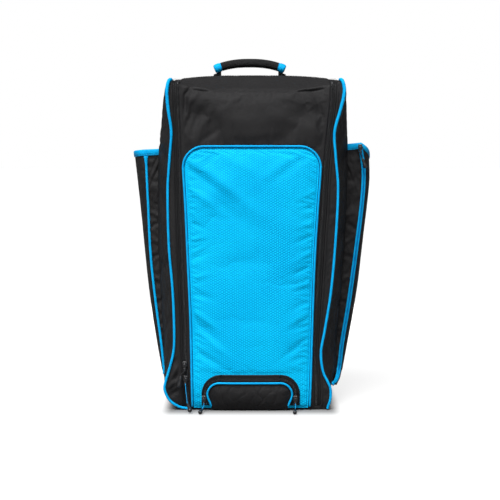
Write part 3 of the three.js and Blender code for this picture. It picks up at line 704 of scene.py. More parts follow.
def cell_waves(material, across, along):
    """cos of three directions 60 degrees apart, added: highest in the middle of each cell."""
    total = None
    for degrees in (0, 60, 120):
        east, north = math.cos(math.radians(degrees)), math.sin(math.radians(degrees))
        place = math_node(
            material, "MULTIPLY_ADD", across, east, math_node(material, "MULTIPLY", along, north)
        )
        wave = waves(material, place, CELL_PITCH * math.sqrt(3) / 2, math.pi / 2)
        total = wave if total is None else math_node(material, "ADD", total, wave)
    return total


def blue_panel_finish():
    """The panel's blue cloth: painted highlight on each cell, painted shade between, and a slow
    drift.
    """
    material, shader = new_finish("blue_cloth", 0.6, specular=0.03)
    across, along = cloth_places(material)
    cell_relief_and_highlight = cell_waves(material, across, along)
    drift = math_node(material, "MULTIPLY_ADD", cloud(material, 5.0), 0.5, 0.28)
    # Painted highlight and shade: lighter on the cells' raised middles, deeper blue between them.
    share = math_node(material, "MULTIPLY_ADD", cell_relief_and_highlight, 0.14, drift)
    set_socket(
        material, shader, "Base Color",
        colour_between(material, share, (0.0003, 0.23, 0.49), (0.002, 0.42, 0.68)),
    )
    bump(material, shader, cell_relief_and_highlight, 0.1)
    return material


# Darkest colour, lightest colour, the threads' pitch and depth, roughness, how much it mirrors
WOVEN = {
    "black_cloth": ((0.0068, 0.0066, 0.0071), (0.0165, 0.016, 0.0166), 1.3, 0.08, 0.58, 0.1),
    "black_zip": ((0.003, 0.003, 0.0035), (0.009, 0.009, 0.0095), 0.8, 0.06, 0.55, 0.15),
    "black_webbing": ((0.004, 0.004, 0.0045), (0.012, 0.012, 0.0125), 2.2, 0.35, 0.6, 0.15),
    "black_thread": ((0.005, 0.005, 0.0055), (0.014, 0.014, 0.015), 0.5, 0.05, 0.5, 0.2),
}
black_cloth, zip_tape, webbing, thread = (woven_finish(name, *row) for name, row in WOVEN.items())
blue_panel = blue_panel_finish()
print("cloth finishes", *WOVEN, blue_panel.name)

# %% [markdown]
# The body is one skin. Its columns go round it, from the left front edge along the front, the right
# side, the back and the left side. Its rows go from the middle of the base out, up the walls and in
# over the top. Two columns lie exactly on the front edges, where the piping will sit, so the corner
# there stays crisp.

# %% The body's skin
FRONT_COLUMNS, SIDE_COLUMNS, BACK_COLUMNS = 160, 46, 48
BASE_ARCH = 2.0
TOP_MIDDLE, TOP_HALF = 11.0, 208.0

# Share of the way in from the rim, height of the top there
top_height = smooth_table([
    [0, RIM_Z], [0.015, 803.8], [0.035, 806.5], [0.14, 809.5], [0.6, 811.5], [1, 811.5],
])
base_drawn = np.array([0.03, 0.2, 0.4, 0.55, 0.645, 0.75, 0.87, 0.95])
wall_levels = np.concatenate([
    np.linspace(0, 60, 20, endpoint=False),
    np.linspace(60, 760, 172, endpoint=False),
    np.linspace(760, RIM_Z, 18),
])
top_in = np.concatenate([np.linspace(0.004, 0.05, 8), np.linspace(0.07, 0.97, 33)])
rim_row = len(base_drawn) + len(wall_levels) - 1
body_rows = {
    "level": np.concatenate([0 * base_drawn, wall_levels, 0 * top_in + RIM_Z])[:, None],
    "drawn": np.concatenate([base_drawn, 0 * wall_levels + 1, 1 - top_in])[:, None],
    "height": np.concatenate(
        [BASE_ARCH * (1 - base_drawn**2), wall_levels, top_height(top_in)[0]]
    )[:, None],
}


def side_plan(along, edge_x, edge_y, wall_x):
    """A side from above: a quarter sine out to the wall, the wall, then a round back corner."""
    flare_end = edge_y + FLARE_SHARE * (BACK_Y - edge_y)
    flare = np.clip(2 * along, 0, 1)
    straight = np.clip(6 * along - 3, 0, 1)
    turn = np.clip(3 * along - 2, 0, 1) * np.pi / 2
    x = edge_x + (wall_x - edge_x) * np.sin(np.pi / 2 * flare)
    y = edge_y + (flare_end - edge_y) * flare + (BACK_Y - BACK_CORNER - flare_end) * straight
    return x - np.sign(wall_x) * BACK_CORNER * (1 - np.cos(turn)), y + BACK_CORNER * np.sin(turn)


def shoulder_fall(x, level):
    """How far the top's sides fall: the cube of the way out, faded in up the walls."""
    across = np.clip((x - TOP_MIDDLE) / TOP_HALF, -1, 1)
    return SHOULDER_DROP * np.abs(across) ** 3 * smoothstep(level, RIM_Z - SAG_HEIGHT, RIM_Z)


def top_sag(x, y, level):
    """The shoulders' fall, and the front's: 0 at the corners and past the zip, most in the middle."""
    across = np.clip((x - TOP_MIDDLE) / TOP_HALF, -1, 1)
    forward = 1 - smoothstep(y, FRONT_Y, ZIP_TOP_Y - ZIP_HALF)
    hang = TOP_DROP * (1 - across**4) * forward * smoothstep(level, RIM_Z - SAG_HEIGHT, RIM_Z)
    return hang + shoulder_fall(x, level)


def body_skin(level, drawn, height):
    """The level cut at each row, drawn in towards the middle, at its height less the top's sag."""
    left, right, wall_left, wall_right, edge_y, _ = body_level(level)
    share = np.arange(FRONT_COLUMNS) / FRONT_COLUMNS
    side = np.arange(SIDE_COLUMNS) / SIDE_COLUMNS
    back = np.arange(BACK_COLUMNS) / BACK_COLUMNS
    front_x = left + (right - left) * share
    right_x, right_y = side_plan(side, right, edge_y, wall_right)
    left_x, left_y = side_plan(1 - side, left, edge_y, wall_left)
    from_x, to_x = wall_right - BACK_CORNER, wall_left + BACK_CORNER
    back_x = from_x + (to_x - from_x) * back
    x = np.concatenate([front_x, right_x, back_x, left_x], axis=1) * drawn
    front = front_y(front_x, level + 0 * front_x)
    y = np.concatenate([front, right_y, 0 * back_x + BACK_Y, left_y], axis=1) * drawn
    return np.stack([x, y, height - top_sag(x, y, level)], axis=-1)


body_points = body_skin(**body_rows)
print("body skin", body_points.shape, "points")

# %% [markdown]
# Cloth is never smooth. A few folds are placed where the real bag shows them, and fine
# creases come from waves of random direction: where their sum is near zero, a crease runs. Both are
# pushed along the surface's own normal, and they fade out near seams, where sewing holds the cloth.

# %% Normals, creases and the zip's seam
def grid_normals(points, wrap_columns):
    """Unit normals: the difference between neighbour columns crossed with that between rows."""
    if wrap_columns:
        across = np.roll(points, -1, axis=1) - np.roll(points, 1, axis=1)
    else:
        across = np.gradient(points, axis=1)
    return unit(np.cross(across, np.gradient(points, axis=0)))


def random_waves(u, v, wavelength, seed, stretch=1.0):
    """The sum of sines of random direction and phase, with lengths near one wavelength."""
    draw = np.random.default_rng(seed)
    count = 14
    turn, phase = draw.uniform(0, np.pi, count), draw.uniform(0, 2 * np.pi, count)
    pitch = wavelength * draw.uniform(0.75, 1.35, count)
    place = u[..., None] * np.cos(turn) + stretch * v[..., None] * np.sin(turn)
    return np.sin(2 * np.pi * place / pitch + phase).sum(axis=-1) / math.sqrt(count / 2)


def crease_lines(u, v, wavelength, seed, stretch=1.0):
    """1 along lines where the random waves cross zero, falling off to both sides."""
    return np.exp(-1.7 * np.abs(random_waves(u, v, wavelength, seed, stretch)))


def zip_distance(x, y, level):
    """Signed distance from the zip's U: below 0 on the lid, above 0 on the rest."""
    left, right = zip_level(level)
    return np.maximum(np.maximum(left - x, x - right), y - ZIP_TOP_Y)


x, y, z = np.moveaxis(body_points, -1, 0)
level = body_rows["level"] + 0 * x
seam = zip_distance(x, y, level)
ZIP_BEGINS, ZIP_FULL = 6.0, 14.0
zipped = smoothstep(level, ZIP_BEGINS, ZIP_FULL)
print("zip seam crosses", int((np.abs(seam) < ZIP_HALF).sum()), "points")

# %% [markdown]
# The front of the top hangs and folds over the front. Left and right of the middle it tucks into a
# short dark crease along that edge, with a roll of cloth above it. The corners pull folds down and
# inwards across the black part of the front.

# %% Folds of the black cloth
# x, z, lean of the crest in degrees, half length, half width, height
LID_FOLDS = np.array([
    [-158, 738, 86, 24, 5, -4.6],
    [-150, 768, 50, 16, 5, -4.4],
    [-146, 737, 80, 26, 6, 4.2],
    [-134, 752, 55, 20, 6, 2.6],
    [-128, 700, 62, 36, 10, -4.4],
    [-110, 694, 58, 38, 12, 4.0],
    [-96, 664, 35, 26, 8, -4.6],
    [-150, 664, 72, 34, 9, 2.6],
    [150, 744, -44, 42, 10, 2.6],
    [168, 716, -68, 40, 8, -3.4],
    [152, 690, -72, 36, 8, 2.8],
    [112, 690, -28, 48, 12, 2.6],
    [60, 706, -35, 60, 14, 2.2],
    [-60, 730, 40, 50, 12, 2.2],
    [10, 664, 4, 90, 10, 2.0],
    [-20, 744, 12, 70, 10, -1.8],
    [84, 738, -16, 46, 9, -2.2],
    [-192, 112, 46, 20, 5, -5.0],
    [-187, 92, 57, 26, 5, 6.0],
    [-178, 82, 66, 24, 4, -5.6],
    [-188, 66, 40, 22, 5, 5.2],
    [-180, 46, 30, 22, 5, -4.8],
    [-176, 210, 74, 40, 5, 3.6],
    [-181, 300, 84, 50, 5, -3.8],
    [-182, 420, 82, 50, 5, 3.2],
    [180, 240, -80, 50, 5, 3.2],
    [186, 380, -84, 60, 5, -3.4],
    [176, 96, -60, 26, 5, -4.0],
    [172, 60, -40, 24, 5, 3.6],
], float)

on_front = np.zeros_like(x)
share = np.arange(FRONT_COLUMNS) / FRONT_COLUMNS
on_front[:, :FRONT_COLUMNS] = 1 - (2 * share - 1) ** 24
next_column = np.diff(body_points, axis=1, append=body_points[:, :1])
around = np.cumsum(np.linalg.norm(next_column, axis=2), axis=1)
risen = distance_gone(body_points)
past_rim = risen - risen[rim_row]

free_of_zip = smoothstep(np.abs(seam), 11, 24)
EDGE_COLUMNS = 5.0  # how many columns beside a front edge the piping's seam holds
column = np.arange(x.shape[1])
free_of_edge = np.minimum(1, np.abs(column - FRONT_COLUMNS) / EDGE_COLUMNS)
free_of_edge = free_of_edge * np.minimum(1, column / EDGE_COLUMNS)
free = free_of_zip * free_of_edge * smoothstep(z, 12, 40)

# The top's front edge: a crease with a roll above it on both sides, and a dip in the middle
tucked = bell(x, 142, 34, 4) + bell(x, -120, 20, 4)
tuck = tucked * (2.2 * bell(past_rim, 9, 6) - 3.4 * bell(past_rim, 0, 2.4))
middle = bell(x, TOP_MIDDLE, 105, 6)
tuck = tuck - 4.5 * middle * bell(past_rim, 8, 9)
# The zip lies in a bed with a lip on both sides, and a seam runs just outside it on the front
from_zip = np.abs(seam)
groove = -2.8 * (1 - smoothstep(from_zip, 7.0, 8.5)) + 1.2 * bell(from_zip, 10.5, 2.0)
groove = groove - 1.5 * bell(seam, 14, 1.1) * (on_front > 0)
on_side = 1 - (on_front > 0)
creases = 1.3 * crease_lines(around, risen, 62, 3, 0.6)
creases = creases + 0.7 * crease_lines(around, risen, 27, 4, 0.8)
FOLD_SHARE, FRONT_CREASE, SIDE_CREASE = 0.75, 0.4, 1.8
lift = (
    zipped * groove
    + on_front * free * (FOLD_SHARE * folds(LID_FOLDS, x, z) + tuck - FRONT_CREASE * creases)
    - on_side * free * SIDE_CREASE * creases
)
body_points = body_points + lift[..., None] * grid_normals(body_points, True)
print("folds from", round(float(lift.min()), 1), "to", round(float(lift.max()), 1), "mm")

# %% [markdown]
# Blender's cloth solver then settles the skin. The sheet is cut a little too large, so it buckles
# between the seams that hold it, and a slight pressure fills it out. The solver works on every second
# row and column. How far each point moved is limited, and spread back over the fine grid.

# %% Settle a grid of cloth
def spread(coarse, axis, wrap):
    """Puts a point between each two neighbours: 9/16 of the near two less 1/16 of the far two."""
    count = coarse.shape[axis]

    def shifted(step):
        index = np.arange(count) + step
        return coarse.take(index % count if wrap else np.clip(index, 0, count - 1), axis)

    middle = (9 * (coarse + shifted(1)) - shifted(-1) - shifted(2)) / 16
    woven = np.stack([coarse, middle], axis=axis + 1)
    shape = list(coarse.shape)
    shape[axis] = 2 * count
    return woven.reshape(shape).take(np.arange(2 * count if wrap else 2 * count - 1), axis)


def settle(points, held, slack, push, reach, wrap_columns=False, frames=16):
    """Cloth grown by slack, held where held is 1, pushed out by push, moved by reach at most."""
    coarse = points[::2, ::2]
    pins = np.round(held[::2, ::2].ravel(), 1)
    surface = grid_surface(coarse, wrap_columns=wrap_columns)
    mesh = bpy.data.meshes.new("settling")
    mesh.from_pydata((surface.points * MM).tolist(), [], surface.quads.tolist())
    cloth = bpy.data.objects.new("settling", mesh)
    scene = bpy.context.scene
    scene.collection.objects.link(cloth)
    group = cloth.vertex_groups.new(name="held")
    for weight in np.unique(pins):
        group.add(np.flatnonzero(pins == weight).tolist(), float(weight), "REPLACE")
    solver = cloth.modifiers.new("solver", "CLOTH")
    solver.settings.quality = 5
    solver.settings.mass = 0.25
    solver.settings.tension_stiffness = 18
    solver.settings.compression_stiffness = 18
    solver.settings.shear_stiffness = 8
    solver.settings.bending_stiffness = 0.6
    solver.settings.shrink_min = -slack
    solver.settings.vertex_group_mass = "held"
    solver.settings.use_pressure = True
    solver.settings.uniform_pressure_force = push
    solver.settings.effector_weights.gravity = 0
    solver.collision_settings.use_collision = False
    solver.point_cache.frame_start = 1
    solver.point_cache.frame_end = frames
    for step in range(1, frames + 1):
        scene.frame_set(step)
    settled = cloth.evaluated_get(bpy.context.evaluated_depsgraph_get()).to_mesh()
    places = np.empty(3 * len(settled.vertices), np.float32)
    settled.vertices.foreach_get("co", places)
    scene.frame_set(1)
    bpy.data.objects.remove(cloth)
    moved = places.reshape(coarse.shape) / MM - coarse
    far = np.linalg.norm(moved, axis=-1, keepdims=True)
    moved = moved * reach * np.tanh(far / reach) / np.maximum(far, 1e-6)
    moved = spread(spread(moved, 0, False), 1, wrap_columns)
    print("cloth moved", round(float(far.mean()), 2), "mm on average")
    return points + moved * (1 - held)[..., None]


left_edge, right_edge = panel_level(np.clip(z, 0, PANEL_TOP))
under_panel = (z < PANEL_TOP) & (x > left_edge - 8) & (x < right_edge + 8) & (y < 0)
body_held = np.clip(1 - free + under_panel, 0, 1)
body_held[: len(base_drawn) + 2] = 1
body_held[rim_row + 2 :] = np.maximum(body_held[rim_row + 2 :], 0.3)
body_points = settle(body_points, body_held, 0.014, 0.3, 3.5, wrap_columns=True)

# %% [markdown]
# The skin has two openings at the foot of the back, inside the walls of the wheel housings, so that
# the wheels stand in open wells. The weave on the walls follows the skin round and up. On the top and
# the base it follows x and y, because there the columns run together.

# %% Make the body
WHEEL_X, WHEEL_Y, WHEEL_Z = 146.0, 138.0, 36.5
WELL_HALF, WELL_RADIUS = 15.5, 41.0

body = tube_surface(body_points)
corners = body.points[body.quads]
quad_row = np.arange(len(body.quads)) // body_points.shape[1]
flat = (quad_row >= rim_row) | (quad_row < len(base_drawn))
body_uv = np.where(flat[:, None, None], corners[..., :2] * MM, body.uv)
aside = np.abs(corners[..., 0])
in_well = (aside.min(axis=1) < WHEEL_X + WELL_HALF) & (aside.max(axis=1) > WHEEL_X - WELL_HALF)
in_well &= corners[..., 1].max(axis=1) > WHEEL_Y - WELL_RADIUS + 0.5
in_well &= corners[..., 2].min(axis=1) < WHEEL_Z + WELL_RADIUS
body = Surface(body.points, body.quads[~in_well], body_uv[~in_well], body.rims)
make_piece("body_cloth", [body], black_cloth, stands_for=["body_shell", "front_lid"])
print("open at the wells:", int(in_well.sum()), "quads")

# %% [markdown]
# The panel is a padded pouch front: blue cloth over thin foam, sewn down all round. Its grid fills a
# tall shape with two round top corners, and one ring more turns the edge down on to the lid. One flat
# face closes the back, out of sight.

# %% The panel's outline
def arched_sheet(u, v, edges, bottom, top, corner):
    """x and z of a sheet with round top corners, from u in -1..1 across and v in 0..1 up.

    x is the middle plus u half widths. Each column's top is the corner's circle or the flat top, and
    z is v of the way up to it. Widths depend on z, so the two steps are repeated.
    """
    z = bottom + v * (top - bottom) + 0 * u
    for _ in range(4):
        left, right = edges(np.minimum(z, top - corner))
        x = (left + right) / 2 + u * (right - left) / 2
        into_corner = np.maximum(0, np.abs(u) * (right - left) / 2 - ((right - left) / 2 - corner))
        column_top = top - corner + np.sqrt(np.maximum(corner**2 - into_corner**2, 0))
        z = bottom + v * (column_top - bottom)
    return x, z


def edge_distance(x, z, u, edges, bottom):
    """Distance from the sheet's edge: the nearest of its sides, its foot and its top row."""
    left, right = edges(z)
    to_side = (1 - np.abs(u)) * (right - left) / 2
    to_top = np.linalg.norm(np.stack([x - x[-1:], z - z[-1:]]), axis=0)
    return np.minimum(np.minimum(to_side, z - bottom), to_top)


def turned_down(points, back_y):
    """The grid with one more ring round it at the depth back_y, closed by one flat face behind."""
    ring = np.pad(points, ((1, 1), (1, 1), (0, 0)), mode="edge")
    inner = ring[1:-1, 1:-1].copy()
    ring[..., 1] = np.pad(back_y, 1, mode="edge")
    ring[1:-1, 1:-1] = inner
    rows, columns = ring.shape[:2]
    at = np.arange(rows * columns).reshape(rows, columns)
    border = np.concatenate([at[0, :-1], at[:-1, -1], at[-1, :0:-1], at[:0:-1, 0]])
    surface = grid_surface(ring, ring[..., [0, 2]] * MM)
    return Surface(surface.points, surface.quads, surface.uv, [border[::-1]])


PANEL_COLUMNS, PANEL_ROWS = 205, 391
panel_u, panel_v = np.meshgrid(np.linspace(-1, 1, PANEL_COLUMNS), np.linspace(0, 1, PANEL_ROWS))
panel_x, panel_z = arched_sheet(panel_u, panel_v, panel_level, PANEL_BOTTOM, PANEL_TOP, PANEL_CORNER)
inside = edge_distance(panel_x, panel_z, panel_u, panel_level, PANEL_BOTTOM)
print("panel", round(float(np.ptp(panel_x))), "x", round(float(np.ptp(panel_z))), "mm")

# %% [markdown]
# The panel's surface sinks in a sewn line just inside its edge and puckers a little there, more on
# its right edge and low on its left one. Diagonal wrinkles cross its upper left. The cells of the
# emboss are real relief, half a millimetre deep, and the solver settles the sheet as it did
# the body.

# %% Make the front panel
# x, z, lean of the crest in degrees, half length, half width, height
PANEL_FOLDS = np.array([
    [-136, 592, -36, 34, 12, 2.4],
    [-112, 558, -38, 62, 13, -3.6],
    [-82, 562, -40, 70, 15, 3.0],
    [-120, 520, -34, 40, 11, 3.3],
    [-74, 500, -40, 66, 14, -2.6],
    [-34, 520, -44, 60, 15, 1.9],
    [-30, 596, -30, 50, 12, 1.4],
    [66, 588, 38, 60, 14, 1.7],
    [100, 592, 36, 50, 12, -1.6],
    [140, 524, 22, 22, 7, 1.2],
    [142, 490, 18, 20, 6, -1.3],
    [138, 452, 16, 24, 7, 1.3],
    [134, 418, 22, 26, 7, -1.3],
    [128, 376, 30, 30, 8, 1.4],
    [128, 344, 24, 26, 7, -1.3],
    [126, 306, 18, 24, 7, 1.2],
    [120, 258, 30, 32, 8, -1.4],
    [116, 228, 34, 34, 8, 1.4],
    [-134, 452, -24, 24, 7, -1.3],
    [-132, 416, 18, 26, 7, 1.2],
    [-130, 372, 22, 26, 7, -1.3],
    [-126, 326, 16, 28, 7, 1.3],
    [-122, 282, -20, 30, 8, -1.4],
    [-114, 226, -38, 44, 9, 2.2],
    [-104, 190, -42, 52, 10, -2.3],
    [-90, 166, -40, 50, 10, 2.3],
    [-100, 128, -32, 40, 9, -2.2],
    [112, 160, 40, 40, 9, -1.6],
    [40, 470, -22, 90, 22, 1.2],
    [-20, 360, 12, 100, 26, -1.2],
    [30, 180, -6, 100, 24, 1.0],
], float)


def honeycomb(x, z):
    """The cells' relief: three waves 60 degrees apart, the same as in the panel's finish."""
    turn = np.radians([0, 60, 120])
    place = x[..., None] * np.cos(turn) + z[..., None] * np.sin(turn)
    return np.cos(2 * np.pi * place / (CELL_PITCH * math.sqrt(3) / 2)).sum(axis=-1)


PUCKER_PITCH = 17.0
wander = 2 * random_waves(panel_x, panel_z, 90, 8)
puckers = np.sin(2 * np.pi * (panel_z + 0.3 * panel_x) / PUCKER_PITCH + wander)
pad = (
    -2.4 * bell(inside, 2.6, 1.7)
    + 0.3 * puckers * bell(inside, 9, 7)
    + folds(PANEL_FOLDS, panel_x, panel_z) * smoothstep(inside, 3, 12)
    - 0.25 * crease_lines(panel_x, panel_z, 90, 12) * smoothstep(inside, 4, 20)
)
panel_points = np.stack([panel_x, panel_face_y(panel_x, panel_z) - pad, panel_z], axis=-1)
in_pocket = (panel_z < 96) & (panel_x > -124) & (panel_x < 123)
panel_held = np.clip(1 - smoothstep(inside, 3, 14) + in_pocket, 0, 1)
panel_points = settle(panel_points, panel_held, 0.008, 1.0, 2.0)
panel_points[..., 1] -= 0.12 * honeycomb(panel_x, panel_z) * smoothstep(inside, 2, 6)
panel = make_piece(
    "front_panel_cloth",
    [turned_down(panel_points, front_y(panel_x, panel_z) - SEAM_GAP)],
    blue_panel, stands_for=["front_panel"],
)

# %% [markdown]
# Zip teeth and stitches are hundreds of tiny bars. One bar is four rings of four points, smaller at
# its ends, so it has 14 faces and still catches the light like a bent wire or a thread. All bars of a
# line are worked out together, from a centre and two directions each.

# %% Bars along a line
BAR_STEP = np.array([-0.5, -0.28, 0.28, 0.5])
BAR_SIZE = np.array([0.4, 1.0, 1.0, 0.4])
BAR_CORNER = 0.5 * np.array([[1, 0], [0, 1], [-1, 0], [0, -1]])


def bars(centres, along, out, length, width, height):
    """A diamond of width x height carried over length at each centre, with both ends closed."""
    along = unit(along)
    across = unit(np.cross(out, along))
    out = np.cross(along, across)
    ring = BAR_SIZE[:, None, None] * BAR_CORNER[None] * [width, height]
    points = (
        centres[:, None, None]
        + length * BAR_STEP[None, :, None, None] * along[:, None, None]
        + ring[None, ..., :1] * across[:, None, None]
        + ring[None, ..., 1:] * out[:, None, None]
    )
    r, c, up, over = corner_indices(4, 4, False, True)
    sides = np.stack([4 * r + c, 4 * r + over % 4, 4 * up + over % 4, 4 * up + c], axis=-1)
    one = np.concatenate([sides, [[3, 2, 1, 0], [12, 13, 14, 15]]])
    quads = (16 * np.arange(len(centres))[:, None, None] + one).reshape(-1, 4)
    flat = points.reshape(-1, 3)
    return Surface(flat, quads, flat[quads][..., [0, 2]] * MM, [])


def walk(path, pitch, *others):
    """Points at even steps along a path, with any other arrays along it read at the same places."""
    gone = distance_gone(path)
    at = np.arange(0.5 * pitch, gone[-1], pitch)
    return [read_along(at, gone, values) for values in (path, *others)]


def stitches(path, out, pitch=4.2, length=2.9, width=0.8):
    """A running stitch: a short bar along the path at every pitch."""
    along = np.gradient(path, axis=0)
    centres, along, out = walk(path, pitch, along, out)
    return bars(centres, along, out, length, width, width)


print("one bar has", 3 * 4 + 2, "faces")

# %% [markdown]
# The main zip runs up the left of the front, over the edge, back and across the top, and down the
# right. Its path is the line where the signed distance of the seam is zero. At each point the way in
# to the lid, crossed with the way along, gives the way out of the cloth.

# %% The main zip
ZIP_BOTTOM = 10.0
TOP_LEFT, TOP_RIGHT = 207.0, 229.0  # the rim's distance from the middle on both sides
RIM_TURN = 5.0  # half of how much further in the front's edges stand than the walls there
ZIP_CORNER = 10.0


def zip_leg(side):
    """One leg, from its foot up the front and back over the top to just before the crossing."""
    column = 0 if side < 0 else 1
    up = np.linspace(ZIP_BOTTOM, RIM_Z, 240)
    x = zip_level(up)[column]
    y = front_y(x, up)
    front = np.stack([x, y, up - top_sag(x, y, up)], axis=-1)
    back = np.linspace(y[-1] + 1.5, ZIP_TOP_Y - ZIP_CORNER, 40)
    rim_x = np.full_like(back, x[-1])
    half_top = (TOP_LEFT if side < 0 else TOP_RIGHT) - RIM_TURN
    z = top_height(1 - np.maximum(back / y[-1], np.abs(rim_x) / half_top))[0]
    over = np.stack([rim_x, back, z - top_sag(rim_x, back, RIM_Z)], axis=-1)
    return np.concatenate([front, over])


left_leg, right_leg = zip_leg(-1), zip_leg(1)
cross_x = np.linspace(left_leg[-1, 0] + ZIP_CORNER, right_leg[-1, 0] - ZIP_CORNER, 80)
share_in = 1 - np.abs(cross_x) / np.where(cross_x < 0, TOP_LEFT, TOP_RIGHT)
cross_z = top_height(share_in)[0] - shoulder_fall(cross_x, RIM_Z)
crossing = np.stack([cross_x, np.full_like(cross_x, ZIP_TOP_Y), cross_z], axis=-1)
zip_path = np.concatenate([left_leg, crossing, right_leg[::-1]])
zip_in = np.concatenate([
    np.tile([1.0, 0, 0], (len(left_leg), 1)),
    np.tile([0.0, -1, 0], (len(crossing), 1)),
    np.tile([-1.0, 0, 0], (len(right_leg), 1)),
])
zip_path, zip_in = walk(zip_path, 2.4, zip_in)
zip_along = unit(np.gradient(zip_path, axis=0))
zip_out = unit(np.cross(zip_in, zip_along))
zip_across = np.cross(zip_out, zip_along)
# Across the tape from the lid, out of the cloth: its back, then two ribs and the coil's bed
tape_outline = np.array([
    [-7.6, -2.7], [7.6, -2.7], [7.6, -1.9], [6.9, -1.5], [6.1, -0.4], [4.7, -0.1], [3.5, -0.5],
    [2.9, -1.6], [2.3, -1.5], [1.6, -0.4], [0.3, -0.1], [-0.9, -0.6], [-1.5, -1.9], [-5.6, -1.9],
    [-7.6, -1.7],
])
tape = tube_surface(ring_points(zip_path, zip_across, zip_out, tape_outline))
make_piece("main_zip_cloth", [tape], zip_tape, stands_for=["main_zip_tape"])


def teeth(path, across, out, pitch=2.4, reach=1.25, rise=-0.7):
    """Two rows of bars that lie across the path, half a pitch apart."""
    rows = []
    for side in (-1, 1):
        centres, ways, ups = walk(path, pitch, across, out)
        shift = 0.25 * pitch * side * np.gradient(centres, axis=0) / pitch
        places = centres + shift + side * reach * ways + rise * ups
        rows.append(bars(places, ways, ups, length=3.0, width=1.25, height=1.4))
    return rows


COIL_ASIDE = 3.6
LIP_ASIDE, LIP_RISE = 10.2, 1.35
coil_path = zip_path - COIL_ASIDE * zip_across
make_piece("main_zip_teeth", teeth(coil_path, zip_across, zip_out, rise=-1.1), coil)
lips = [zip_path + side * LIP_ASIDE * zip_across + LIP_RISE * zip_out for side in (-1, 1)]
make_piece("main_zip_stitches", [stitches(line, zip_out) for line in lips], thread)

# %% [markdown]
# Piping is a cord wrapped in blue tape and sewn into a seam. It rides on the panel's edge and on the
# two front edges of the body. The tube follows the seam's formula, so it stays on the cloth, and it
# swells a little towards the top corners, where the tape is bulkiest.

# %% Piping
def arch_path(edges, bottom, top, corner, offset, counts=(150, 30, 60)):
    """Up the left edge, round a corner, along the top, round and down: x and z, offset outwards."""
    leg, bend, flat = counts
    up = np.linspace(bottom, top - corner, leg)
    left, right = edges(up)
    turn = np.linspace(0, np.pi / 2, bend)
    from_x, to_x = left[-1] + corner, right[-1] - corner
    level = top - corner + (corner + offset) * np.sin(turn)
    run = np.linspace(from_x, to_x, flat)
    x = np.concatenate([
        left - offset, from_x - (corner + offset) * np.cos(turn), run,
        (to_x + (corner + offset) * np.cos(turn))[::-1], (right + offset)[::-1],
    ])
    z = np.concatenate([up, level, 0 * run + top + offset, level[::-1], up[::-1]])
    return x, z


PIPING_FOOT_RIGHT = {-1: 8.0, 1: 3.0}  # how far right of the base's corner each foot stands
PIPING_RISE = 3.4
PIPING_IN = 6.5
END_RINGS, END_SIZE = 12, 0.35


def side_piping_path(side):
    """From the base's corner up the front edge, bending back along the top's side edge."""
    up = np.concatenate([np.linspace(8, 60, 14), np.linspace(75, RIM_Z - 5, 90)])
    column = 0 if side < 0 else 1
    edge = body_level(up)[column]
    forward = 3.0 + 1.6 * smoothstep(up, 620, 760)
    rising = np.stack([edge, body_level(up)[4] - forward, up - shoulder_fall(edge, up)], axis=-1)
    rim = body_level(np.array(RIM_Z))
    fall = shoulder_fall(rim[column], RIM_Z)
    # The bend over the top: how far in, how far back and how high from the rim's corner
    bend = np.array([[1.6, -2.6, 2.0], [4.0, 1.5, 4.6], [6.0, 7.0, 5.0]])
    turning = np.array([rim[column], rim[4], RIM_Z - fall]) + bend * [-side, 1, 1]
    along_side = np.array([0.12, 0.2, 0.35, 0.5, 0.6])
    back_x, back_y = side_plan(along_side, rim[column], rim[4], rim[2 + column])
    back_z = RIM_Z + PIPING_RISE - shoulder_fall(back_x, RIM_Z)
    back_z[-1] -= 3.0
    along_top = np.stack([back_x - PIPING_IN * side, back_y, back_z], axis=-1)
    over = np.concatenate([turning, along_top])
    base = body_level(np.array(0.0))
    foot = [[base[column] + PIPING_FOOT_RIGHT[side], base[4] - 5.04, 3.0]]
    return smooth_path(np.concatenate([foot, rising, over]), 420)


pipe_x, pipe_z = arch_path(panel_level, 10, PANEL_TOP, PANEL_CORNER, 3.6)
panel_pipe = np.stack([pipe_x, front_y(pipe_x, pipe_z) - 4.2, pipe_z], axis=-1)
make_piece(
    "panel_piping_tape", [swept(smooth_path(panel_pipe, 420), round_outline(2.6, 12))],
    blue_trim, stands_for=["panel_piping"],
)
for name, side in SIDES.items():
    path = side_piping_path(side)
    size = 1 + 0.35 * smoothstep(path[:, 2], 620, 780)
    size[-END_RINGS:] = size[-END_RINGS:] * np.linspace(1, END_SIZE, END_RINGS)
    make_piece(
        f"side_piping_{name}_tape",
        [swept(path, round_outline(3.1, 12), facing=(-side, -0.35, 0.35), size=size)],
        blue_trim, stands_for=[f"side_piping_{name}"],
    )

# %% [markdown]
# A low pocket sits in the foot of the panel. A wide black zip goes round it in an arch, with ridges
# of tape beside its coil, and thin blue piping edges the pocket's own black front. The arch's ribbon
# is a grid too: along the arch, and across from its outer to its inner line.

# %% The pocket
POCKET_OUTER = (-119.0, 118.0, 90.0, 48.0)
POCKET_INNER = (-104.0, 98.0, 69.0, 28.0)
POCKET_FOOT = 13.0
POCKET_BOTTOM = 3.0
ARCH_COUNTS = (20, 26, 60)
LEG_LEAN = 9.0


def pocket_arch(share):
    """The arch a share of the way from the outer to the inner one: its edges, top and corner.

    The inner legs stand further in at their feet, by a smooth step from the foot to the bend.
    """
    outer, inner = np.array(POCKET_OUTER), np.array(POCKET_INNER)
    left, right, top, corner = outer + share * (inner - outer)

    def edges(z):
        drawn_in = share * LEG_LEAN * (1 - smoothstep(z, 8, 42))
        return left + drawn_in, right - drawn_in

    return edges, top, corner


def pocket_line(share, lift):
    """A line of the ribbon, a share of the way to the inner arch, lifted off the panel."""
    edges, top, corner = pocket_arch(share)
    x, z = arch_path(edges, POCKET_FOOT, top, corner, 0, ARCH_COUNTS)
    return np.stack([x, panel_face_y(x, z) - lift, z], axis=-1)


